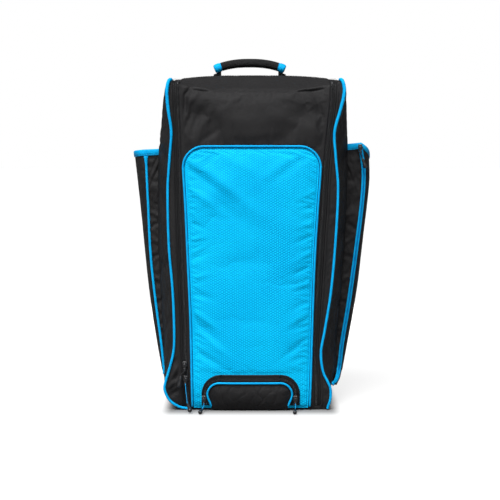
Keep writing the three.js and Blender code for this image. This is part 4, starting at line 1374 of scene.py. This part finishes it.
# Share across the ribbon, its lift there: a flap, a ridge, the coil's bed, a ridge, the inner tape
RIBBON = [
    (0.0, -0.5), (0.0, 1.4), (0.05, 2.4), (0.13, 2.6), (0.17, 1.7), (0.21, 2.6), (0.27, 1.6),
    (0.32, 2.6), (0.38, 1.7), (0.44, 1.3), (0.58, 1.3), (0.64, 1.8), (0.7, 2.5), (0.76, 1.6),
    (0.9, 1.6), (1.0, 1.3), (1.0, -0.5),
]
ribbon = np.stack([pocket_line(share, lift) for share, lift in RIBBON], axis=1)
make_piece(
    "pocket_zip_cloth", [tube_surface(ribbon[::-1])],
    zip_tape, stands_for=["pocket_zip_tape"],
)
middle = pocket_line(0.51, 2.0)
pocket_out = np.tile([0.0, -1.0, 0.0], (len(middle), 1))
pocket_across = np.cross(pocket_out, unit(np.gradient(middle, axis=0)))
make_piece("pocket_zip_teeth", teeth(middle, pocket_across, pocket_out, rise=0.2), coil)

pocket_u, pocket_v = np.meshgrid(np.linspace(-1, 1, 121), np.linspace(0, 1, 51))
pocket_edges, top, corner = pocket_arch(1.0)
pocket_x, pocket_z = arched_sheet(pocket_u, pocket_v, pocket_edges, POCKET_BOTTOM, top, corner)
inside = edge_distance(pocket_x, pocket_z, pocket_u, pocket_edges, POCKET_BOTTOM)
fullness = 1.5 + 3.0 * smoothstep(inside, 0, 22) - 0.8 * crease_lines(pocket_x, pocket_z, 40, 21)
pocket_points = np.stack([pocket_x, panel_face_y(pocket_x, pocket_z) - fullness, pocket_z], axis=-1)
pocket_points = settle(pocket_points, 1 - smoothstep(inside, 2, 10), 0.006, 1.2, 1.5)
pocket = make_piece(
    "pocket_front_cloth", [turned_down(pocket_points, panel_face_y(pocket_x, pocket_z) + SEAM_GAP)],
    black_cloth, stands_for=["pocket_front"],
)
pipe_x, pipe_z = arch_path(pocket_edges, 12, top, corner, 1.0, ARCH_COUNTS)
pocket_pipe = np.stack([pipe_x, panel_face_y(pipe_x, pipe_z) - 4.2, pipe_z], axis=-1)
make_piece(
    "pocket_piping_tape", [swept(smooth_path(pocket_pipe, 220), round_outline(2.5, 12))],
    blue_trim, stands_for=["pocket_piping"],
)

# %% [markdown]
# An open sleeve hangs on each side: a flat front face, a bend, and a long curve back into the side.
# Its table gives where the front corner and the outermost line stand at each level. The cloth is
# one sheet with a real thickness, which goes along the floor, up the outside, over the rim and down
# inside.

# %% The sleeves' forms
SLEEVE_WIDEST = 18.0
SLEEVE_BACK = 88.0
SLEEVE_CLOTH = 1.8
SLEEVE_IN = 14.0  # how far the sleeve's seam lies inside the wall
FACE_COLUMNS, BEND_COLUMNS, REAR_COLUMNS = 24, 24, 33
SLEEVE_ROWS = 161

# Side, bottom, the rim's height at the inner front, the corner, the outermost line and the back
SLEEVES = {
    "left": (-1, 64.0, (631, 629, 625, 622)),
    "right": (1, 44.0, (641, 646, 620, 628)),
}
# Level, the front corner's distance from the middle, the outermost line's distance
SLEEVE_LEVELS = {
    "left": smooth_table([
        [64, 217, 218], [89, 219, 227], [150, 225, 239], [251, 238, 254], [371, 250, 267],
        [507, 256, 279], [630, 261, 293],
    ]),
    "right": smooth_table([
        [44, 214, 217], [58, 219, 224], [89, 226, 233], [150, 233, 245], [251, 249, 262],
        [371, 265, 277], [507, 281, 291], [575, 284, 297], [615, 279, 297], [646, 272, 296],
    ]),
}


def sleeve_sheet(name):
    """The outside as a grid: a straight face, a quarter sine bend and a quarter oval to the back."""
    side, bottom, rim = SLEEVES[name]
    face = np.arange(FACE_COLUMNS) / FACE_COLUMNS
    bend = np.arange(BEND_COLUMNS) / BEND_COLUMNS
    rear = np.linspace(0, 1, REAR_COLUMNS)
    along = np.concatenate([face, 1 + bend, 2 + rear])[:, None]
    top = np.interp(along, [0, 1, 2, 3], rim)
    share = np.linspace(0, 1, SLEEVE_ROWS)[None]
    level = bottom + share * (rim[1] - bottom)
    corner, outer = SLEEVE_LEVELS[name](level)
    inner = wall_distance(side, level) - SLEEVE_IN
    turn = np.pi / 2 * np.clip(along - 1, 0, 1)
    swing = np.pi / 2 * np.clip(along - 2, 0, 1)
    front_x = inner + (corner - inner) * np.clip(along, 0, 1) + (outer - corner) * np.sin(turn)
    x = np.where(along <= 2, front_x, inner + (outer - inner) * np.cos(swing))
    front = SLEEVE_WIDEST + (SLEEVE_FRONT - SLEEVE_WIDEST) * np.cos(turn)
    y = np.where(along <= 2, front, SLEEVE_WIDEST + (SLEEVE_BACK - SLEEVE_WIDEST) * np.sin(swing))
    z = bottom + share * (top - bottom)
    return np.stack([side * x, y + 0 * x, z], axis=-1), side * inner[0, 0]


# Distance along the outline, z, lean of the crest in degrees, half length, half width, height
SLEEVE_FOLDS = np.array([
    [12, 592, 116, 36, 4, -3.4],
    [22, 588, 112, 38, 4, 2.6],
    [31, 578, 110, 36, 4, -3.0],
    [14, 540, 100, 40, 6, 2.2],
    [38, 552, 104, 40, 5, 2.0],
    [26, 500, 80, 44, 6, -2.4],
    [18, 468, 28, 24, 6, 2.2],
    [32, 440, -34, 26, 5, -2.4],
    [20, 402, 34, 24, 6, 2.0],
    [34, 362, -28, 28, 6, -2.2],
    [22, 310, 26, 28, 6, 1.8],
    [28, 250, -22, 28, 6, -1.8],
    [24, 190, 20, 28, 6, 1.6],
    [96, 520, 80, 80, 14, 1.2],
    [126, 430, 94, 90, 14, -1.4],
    [108, 300, 86, 80, 14, 1.2],
    [160, 520, 88, 80, 14, -1.4],
    [150, 240, 92, 80, 14, -1.2],
], float)


def outward(surface):
    """The closed surface, turned round if its signed volume is below zero."""
    a, b, c, d = (surface.points[surface.quads[:, k]] for k in range(4))
    volume = np.einsum("ij,ij->", a, np.cross(b, c)) + np.einsum("ij,ij->", a, np.cross(c, d))
    if volume > 0:
        return surface
    rims = [rim[::-1] for rim in surface.rims]
    return Surface(surface.points, surface.quads[:, ::-1], surface.uv[:, ::-1], rims)


def sleeve_cloth(name):
    """The settled outside of a sleeve, its unit normals, and the x of its seam at the foot."""
    side = SLEEVES[name][0]
    sheet, inner_x = sleeve_sheet(name)
    gone = distance_gone(sheet)
    normals = -side * grid_normals(sheet, False)
    z = sheet[..., 2]
    corner_gone = gone[FACE_COLUMNS]
    at_corner = bell(gone, corner_gone, 5)
    to_rim = z[:, -1:] - z
    free = (
        smoothstep(gone, 6, 16) * smoothstep(gone[-1] - gone, 6, 20)
        * smoothstep(to_rim, 9, 22) * smoothstep(z - z[:, :1], 3, 20) * (1 - at_corner)
    )
    on_face = 1 - smoothstep(gone, corner_gone, corner_gone + 30)
    creases = (0.2 + 0.5 * on_face) * crease_lines(gone, z, 48, 31 + side, 0.7)
    lift = folds(SLEEVE_FOLDS, gone, z) - creases
    sheet = sheet + (free * lift)[..., None] * normals
    sheet = settle(sheet, 1 - free * (0.15 + 0.85 * on_face), 0.02, 0.3, 2.6)
    return sheet, -side * grid_normals(sheet, False), inner_x


print("sleeve grid", sleeve_sheet("left")[0].shape)

# %% [markdown]
# The rim of each sleeve is bound with a blue band, folded over the edge and sewn through. The band's
# section is a flat loop round the cloth, carried along the rim, with a sewn line near its lower edge.
# A thin blue line runs down the front corner: piping on the left, a two-tone zip on the right.

# %% Make the sleeves
FLOOR_STEPS = 8
# Out of the cloth and up from the rim: round the folded band, with a dip at the sewn line
BAND_SECTION = np.array([
    [0.5, -14.0], [1.9, -13.6], [2.2, -12.4], [1.5, -11.2], [2.3, -9.8], [2.5, -6], [2.3, -2],
    [1.7, 0.6], [0.3, 1.6], [-1.6, 1.6], [-3.2, 0.6], [-3.8, -3], [-3.8, -9], [-3.0, -11.2],
    [-3.6, -12.6], [-2.2, -14.0],
])
SEWN_OUT, SEWN_DOWN = 1.9, 11.2


def sleeve_shell(sheet, normals, inner_x):
    """The sheet's section: in from the wall along the floor, up outside, down inside, and back."""
    foot = sheet[:, :1]
    at_wall = foot * [0, 1, 1] + [inner_x, 0, 0]
    share = np.linspace(0, 1, FLOOR_STEPS, endpoint=False)[None, :, None]
    floor = at_wall + (foot - at_wall) * share
    inside = sheet - SLEEVE_CLOTH * normals
    inner_foot = inside[:, :1] * [1, 1, 0] + (foot + SLEEVE_CLOTH) * [0, 0, 1]
    thick = [0, 0, SLEEVE_CLOTH]
    inner_floor = at_wall + thick + (inner_foot - at_wall - thick) * share
    loop = np.concatenate([floor, sheet, inside[:, :2:-1], inner_foot, inner_floor[:, ::-1]], axis=1)
    return outward(tube_surface(loop))


def sleeve_line(name, line_in, stand, top, step):
    """Points up a sleeve's front, line_in from its corner, stand off it and a step over the band."""
    side, bottom, rim = SLEEVES[name]
    z = np.linspace(bottom + 8, top, 160)
    x = np.maximum(SLEEVE_LEVELS[name](z)[0] - line_in, wall_distance(side, z) + stand)
    out = stand + step * smoothstep(z, rim[1] - 34, rim[1] - 20)
    return np.stack([side * x, SLEEVE_FRONT - out, z], axis=-1)


for name, (side, bottom, rim) in SLEEVES.items():
    sheet, normals, inner_x = sleeve_cloth(name)
    shell = sleeve_shell(sheet, normals, inner_x)
    cloth = make_piece(
        f"sleeve_{name}_cloth", [shell], black_cloth,
        stands_for=[f"side_sleeve_{name}"],
    )
    up = unit(sheet[:, -1] - sheet[:, -6])
    edge_out = unit(normals[:, -1])
    section = ring_points(sheet[:, -1], edge_out, up, BAND_SECTION)
    band = make_piece(
        f"sleeve_{name}_band", [outward(tube_surface(section))],
        blue_trim, stands_for=[f"sleeve_binding_{name}"],
    )
    sewn = sheet[:, -1] + SEWN_OUT * edge_out - SEWN_DOWN * up
    make_piece(f"sleeve_{name}_stitches", [stitches(sewn, edge_out)], thread)

# %% [markdown]
# The line on the left sleeve is plain piping, which widens where it runs under the band. On the right
# it is a slim zip: blue tape with a darker coil down its middle and a black edge on its outer side.

# %% Lines on the sleeves
line = sleeve_line("left", 1.4, 3.0, 614, 0)
widened = 1 + 0.7 * smoothstep(line[:, 2], 590, 614)
make_piece(
    "sleeve_piping_left_tape", [swept(line, round_outline(3.0, 14, 0.7), size=widened)],
    blue_trim, stands_for=["sleeve_piping_left"],
)
line = sleeve_line("right", 6.0, 4.6, 645, SLEEVE_ZIP_STEP)
line = line[line[:, 2] > 84]
# The zip's foot, x, y and z: it comes forward along the bag's side from the sleeve's corner
strip_foot = [[200, -112, 57], [208, -92, 60], [214.5, -72, 68]]
line = smooth_path(np.concatenate([strip_foot, line[::4]]), 170)
ribbon = swept(line + [0, 2.0, 0], round_outline(5.2, 14, 0.4))
make_piece("sleeve_zip_right_tape", [ribbon], blue_trim, stands_for=["sleeve_zip_right"])
line_out = np.tile([0.0, -1.0, 0.0], (len(line), 1))
line_across = np.cross(line_out, unit(np.gradient(line, axis=0)))
make_piece(
    "sleeve_zip_right_teeth", teeth(line - [0, 0.4, 0], line_across, line_out, reach=0.7, rise=0),
    blue_coil,
)
make_piece(
    "sleeve_zip_right_edge", [swept(line + [6.2, 2.6, 0], round_outline(1.2, 8))],
    zip_tape,
)

# %% [markdown]
# The handle is a padded grip with a blue band at each end. Black webbing drops from under each band
# and lies back flat on the top, where a box of stitches holds it. The grip's tube swells a little in
# the middle, as a sewn foam tube does, and the webbing is a thin bar with round edges.

# %% The handle
HANDLE_X, HANDLE_Y = -3.0, 20.0
HANDLE_Z = 846.8
HANDLE_HALF = 88.5
HANDLE_BOW = 16.0
GRIP_HALF = 72.5
GRIP_RADIUS = 10.4
BAND_RADIUS = 11.3
STRAP_X = 81.0
STRAP_WIDTH = 19.0
STRAP_THICK = 3.0
TAB_Y, TAB_HALF = 38.0, 15.0
GRIP_RINGS, BAND_RINGS = 90, 22
SEAM_DROP = 0.4

# How far back, share of the way from the tab up to the band, lean from upright in degrees
STRAP_WAY = [[0, 1.02, 0], [0.3, 0.62, 8], [1.8, 0.26, 38], [5, 0.06, 72], [10, 0, 90], [32, 0, 90]]
# Right of the strap's middle, y: once round the box of stitches and across it
STITCHED_BOX = np.array([(-7, 33), (7, 33), (7, 50), (-7, 50), (-7, 33), (7, 50)], float)


def handle_z(x):
    """The handle's middle line, which drops by a power of the way out towards its ends."""
    return HANDLE_Z - HANDLE_BOW * np.abs(x / HANDLE_HALF) ** 2.4


def grip_path(from_x, to_x, count):
    """Points along the handle's middle line."""
    x = np.linspace(from_x, to_x, count)
    return np.stack([HANDLE_X + x, 0 * x + HANDLE_Y, handle_z(x)], axis=-1)


def soft_ends(count, steps=4, least=0.55):
    """Ring sizes that round off both ends of a tube in a few steps."""
    rise = np.sqrt(1 - (1 - np.linspace(0, 1, steps)) ** 2)
    size = np.ones(count)
    size[:steps] = least + (1 - least) * rise
    size[-steps:] = size[:steps][::-1]
    return size


def tab_height(side):
    """The highest of the cloth's points under a strap's end, and half the webbing above it."""
    x, y, z = np.moveaxis(body_points[rim_row:], -1, 0)
    under_tab = np.abs(x - HANDLE_X - side * STRAP_X) < STRAP_WIDTH / 2
    under_tab &= np.abs(y - TAB_Y) < TAB_HALF
    return z[under_tab].max() + STRAP_THICK / 2


def strap_surface(side, tab_z):
    """Webbing: a flat bar with round edges whose rings go down from the band and back on the top."""
    back, rise, lean = (column[:, None] for column in smooth_path(STRAP_WAY, 50).T)
    ring = np.linspace(0, 2 * np.pi, 36, endpoint=False)
    x = side * STRAP_X + STRAP_WIDTH / 2 * soft_power(np.sin(ring), 0.25) + 0 * back
    out = STRAP_THICK / 2 * soft_power(np.cos(ring), 0.25)
    turn = np.radians(lean)
    under_band = handle_z(x) - BAND_RADIUS - SEAM_DROP
    y = HANDLE_Y + back + out * np.cos(turn)
    z = tab_z + rise * (under_band - tab_z) + out * np.sin(turn)
    strap = np.stack([HANDLE_X + x, y, z], axis=-1)
    return outward(tube_surface(strap))


path = grip_path(-GRIP_HALF, GRIP_HALF, GRIP_RINGS)
grip_size = 1 + 0.03 * np.sin(np.linspace(0, np.pi, GRIP_RINGS))
grip_size = grip_size * soft_ends(GRIP_RINGS, 3, 0.9)
grip = swept(path, round_outline(GRIP_RADIUS, 32), facing=(0, 0, 1), size=grip_size)
grip_piece = make_piece(
    "handle_grip_cloth", [grip], webbing, stands_for=["handle_grip"]
)
under = path - [0, 0, GRIP_RADIUS + SEAM_DROP]
down = np.tile([0.0, 0, -1], (GRIP_RINGS, 1))
make_piece(
    "handle_grip_stitches", [stitches(under + [0, shift, 0], down) for shift in (-2.5, 2.5)],
    thread,
)
for name, side in SIDES.items():
    ends = sorted([side * (GRIP_HALF - 1.5), side * HANDLE_HALF])
    inner_end_full = np.linspace(1, 0, BAND_RINGS)[::side]
    band = swept(
        grip_path(*ends, BAND_RINGS), round_outline(BAND_RADIUS, 32), facing=(0, 0, 1),
        size=np.maximum(soft_ends(BAND_RINGS, 8, 0.6), inner_end_full),
    )
    make_piece(
        f"handle_band_{name}_tape", [band], blue_trim, stands_for=[f"handle_band_{name}"]
    )
    tab_z = tab_height(side)
    print(name, "strap's end lies at", round(tab_z, 1), "mm")
    make_piece(
        f"handle_strap_{name}_web", [strap_surface(side, tab_z)], webbing,
        stands_for=[f"handle_strap_{name}"],
    )
    box_x = HANDLE_X + side * STRAP_X + STITCHED_BOX[:, 0]
    box_z = tab_z + STRAP_THICK / 2 + 0.1
    box_path = np.stack([box_x, STITCHED_BOX[:, 1], 0 * box_x + box_z], axis=-1)
    upwards = np.tile([0.0, 0, 1], (len(box_path), 1))
    make_piece(
        f"handle_strap_{name}_stitches", [stitches(box_path, upwards, 3.4)], thread
    )

# %% [markdown]
# Each wheel is a rubber tyre on a moulded hub, turned from a profile that is closed round the bore.
# Shallow cuts cross the tread, and five spokes stand in the dish. The housings keep their CAD solids,
# which already have the right shape, and get a moulded finish and screws.

# %% Wheels and housings
WHEEL_SIDES = 120
SPOKES, SPOKE_HEIGHT = 5, 3.2
TREAD_CUTS, CUT_DEPTH = 20, 1.1
HUB_RADIUS = 28.5
SCREW_ASIDE, SCREW_LEVELS = 19, (22, 84)
SCREW_FOOT, SCREW_TOP = 153.6, 155.4
# Distance from the screw's axis, share of its head's height
SCREW_PROFILE = [[3.4, 0], [3.4, 0.5], [2.6, 0.9], [1.2, 1.0]]
# Distance from the axle, distance from the wheel's middle plane: from the bore to the tread's middle
WHEEL_PROFILE = np.array([
    [4.6, 12.6], [11.2, 12.8], [12.0, 12.2], [12.6, 9.5], [16.5, 8.2], [22, 8.0], [26.4, 8.4],
    [27.4, 11.6], [28.4, 12.6], [30.2, 12.9], [33.0, 12.4], [35.2, 10.6], [36.0, 7.5], [36.0, 5.0],
    [35.2, 4.4], [35.2, 3.4], [36.0, 2.8], [36.0, 0.0],
])


def wheel_points(middle_x, rows):
    """Rows of the profile turned round the axle, with cuts in the tread and spokes in the dish."""
    turn = np.linspace(0, 2 * np.pi, WHEEL_SIDES, endpoint=False)
    out, aside = rows[:, :1], rows[:, 1:]
    slanted = TREAD_CUTS * turn + 0.06 * aside * TREAD_CUTS
    cuts = CUT_DEPTH * smoothstep(np.cos(slanted), 0.75, 0.95) * smoothstep(out, 34, 36)
    in_dish = smoothstep(out, 12.6, 14) * (1 - smoothstep(out, 26, 27.2))
    spokes = SPOKE_HEIGHT * smoothstep(np.cos(SPOKES * turn), 0.1, 0.7) * in_dish
    far = out - cuts
    x = middle_x + aside + np.sign(aside) * spokes
    return np.stack(
        [x + 0 * turn, WHEEL_Y + far * np.cos(turn), WHEEL_Z + far * np.sin(turn)], axis=-1
    )


whole = np.concatenate([WHEEL_PROFILE, WHEEL_PROFILE[-2::-1] * [1, -1]])
hub_rows = int((WHEEL_PROFILE[:, 0] < HUB_RADIUS).sum())
for name, side in SIDES.items():
    ring = wheel_points(side * WHEEL_X, whole)
    tyre = outward(grid_surface(ring, wrap_rows=True, wrap_columns=True))
    wheel = make_piece(
        f"{name}_wheel_tyre", [tyre], grey_rubber,
        body=f"{name}_wheel", stands_for=[f"wheel_{name}"],
    )
    wheel.data.materials.append(black_plastic)
    row_of = np.arange(len(tyre.quads)) // WHEEL_SIDES
    hub = (row_of < hub_rows - 1) | (row_of >= len(whole) - hub_rows)
    wheel.data.polygons.foreach_set("material_index", hub.astype(np.int32))
    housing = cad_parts[f"wheel_housing_{name}"]
    housing.data.materials.clear()
    housing.data.materials.append(black_plastic)
    heads = [
        revolved(SCREW_PROFILE, (screw_x, SCREW_FOOT, z), (screw_x, SCREW_TOP, z), 16)
        for screw_x in (side * WHEEL_X - SCREW_ASIDE, side * WHEEL_X + SCREW_ASIDE)
        for z in SCREW_LEVELS
    ]
    make_piece(f"housing_{name}_screws", heads, dark_metal)

# %% [markdown]
# The stage is a pale floor under a white sky. One soft light stands high on the left front, so that
# folds show, and a weak one on the right. They are suns with a wide angle, because a sun lights the
# floor evenly to its far end. A low soft box behind the bag shows its back. The camera sees a white
# sky and a floor that glows like a light table, less and less towards the foot of the bag, so that a
# painted contact shadow stays there as a soft dark line. Neither lights the bag that strongly, so its
# sides stay darker than its front. The standard view transform keeps the blue strong.

# %% Floor and light
SKY_LIGHT = 0.16
GLOW = 0.7
FLOOR_HALF = 60.0
# Painted contact shadow along x and y: half the bag's foot in metres, and how fast the glow comes
# back past it
SHADED_FOOT_HALF, PAINTED_SHADOW_FADE = (0.19, 0.15), (30.0, 13.0)


def studio_floor():
    """A wide pale plane the camera sees glow, less and less near the bag's foot: a painted shadow."""
    material, shader = new_finish("studio_floor", 0.9, specular=0.05)
    shader.inputs["Base Color"].default_value = (0.18, 0.18, 0.18, 1)
    shader.inputs["Emission Color"].default_value = (1, 1, 1, 1)
    gloss = add_node(
        material, "ShaderNodeMapRange",
        {"Value": cloud(material, 1.5), "To Min": 0.85, "To Max": 0.95},
    )
    set_socket(material, shader, "Roughness", gloss.outputs[0])
    where = add_node(material, "ShaderNodeTexCoord").outputs["Object"]
    split = add_node(material, "ShaderNodeSeparateXYZ", {0: where})
    away = []
    for axis, (half, fade) in enumerate(zip(SHADED_FOOT_HALF, PAINTED_SHADOW_FADE)):
        from_middle = math_node(material, "ABSOLUTE", split.outputs[axis])
        past_edge = math_node(material, "SUBTRACT", from_middle, half)
        past_edge = math_node(material, "MAXIMUM", past_edge, 0.0)
        faded = math_node(material, "MULTIPLY", past_edge, fade)
        away.append(math_node(material, "POWER", faded, 2.0))
    distance = math_node(material, "SQRT", math_node(material, "ADD", *away))
    # The glow fades out near the foot, so there the camera sees a painted contact shadow.
    glow_less_painted_shadow = add_node(
        material, "ShaderNodeMapRange", {"Value": distance, "To Max": GLOW},
        interpolation_type="SMOOTHSTEP",
    )
    seen = add_node(material, "ShaderNodeLightPath").outputs["Is Camera Ray"]
    seen_glow_less_shadow = math_node(material, "MULTIPLY", glow_less_painted_shadow.outputs[0], seen)
    set_socket(material, shader, "Emission Strength", seen_glow_less_shadow)
    far = FLOOR_HALF
    corners = [(-far, -far, 0), (far, -far, 0), (far, far, 0), (-far, far, 0)]
    mesh = bpy.data.meshes.new("studio_floor")
    mesh.from_pydata(corners, [], [(0, 1, 2, 3)])
    mesh.materials.append(material)
    floor = bpy.data.objects.new("studio_floor", mesh)
    bpy.context.scene.collection.objects.link(floor)


def soft_sun(name, place, strength, width_degrees):
    """A sun that shines from a place towards the bag's middle, as wide as a large soft box."""
    data = bpy.data.lights.new(name, "SUN")
    data.energy = strength
    data.angle = math.radians(width_degrees)
    sun = bpy.data.objects.new(name, data)
    sun.location = place
    sun.rotation_euler = (Vector((0, 0, 0.4)) - Vector(place)).to_track_quat("-Z", "Y").to_euler()
    bpy.context.scene.collection.objects.link(sun)


def low_soft_box(place, size, power):
    """An upright lit rectangle behind the bag, lower than its top, which it leaves unlit."""
    data = bpy.data.lights.new("low_soft_box", "AREA")
    data.shape = "RECTANGLE"
    data.size, data.size_y = size
    data.energy = power
    box = bpy.data.objects.new("low_soft_box", data)
    box.location = place
    box.rotation_euler = (math.radians(-90), 0, 0)
    bpy.context.scene.collection.objects.link(box)


def white_sky():
    """White where the camera looks straight at it, and SKY_LIGHT for every other ray."""
    world = bpy.data.worlds.new("white_sky")
    world.use_nodes = True
    tree = world.node_tree
    seen = tree.nodes["Background"]
    seen.inputs[0].default_value = (1, 1, 1, 1)
    seen.inputs[1].default_value = 1.0
    given = tree.nodes.new("ShaderNodeBackground")
    given.inputs[0].default_value = (1, 1, 1, 1)
    given.inputs[1].default_value = SKY_LIGHT
    ray = tree.nodes.new("ShaderNodeLightPath")
    mix = tree.nodes.new("ShaderNodeMixShader")
    tree.links.new(ray.outputs["Is Camera Ray"], mix.inputs[0])
    tree.links.new(given.outputs[0], mix.inputs[1])
    tree.links.new(seen.outputs[0], mix.inputs[2])
    tree.links.new(mix.outputs[0], tree.nodes["World Output"].inputs[0])
    bpy.context.scene.world = world


studio_floor()
white_sky()
soft_sun("key", (-0.8, -2.3, 3.9), 6.9, 40)
soft_sun("fill", (0.8, -3.8, 1.4), 0.6, 60)
low_soft_box((0, 2.1, 0.4), (0.9, 0.6), 42)
bpy.context.scene.view_settings.view_transform = "Standard"
print("studio ready")
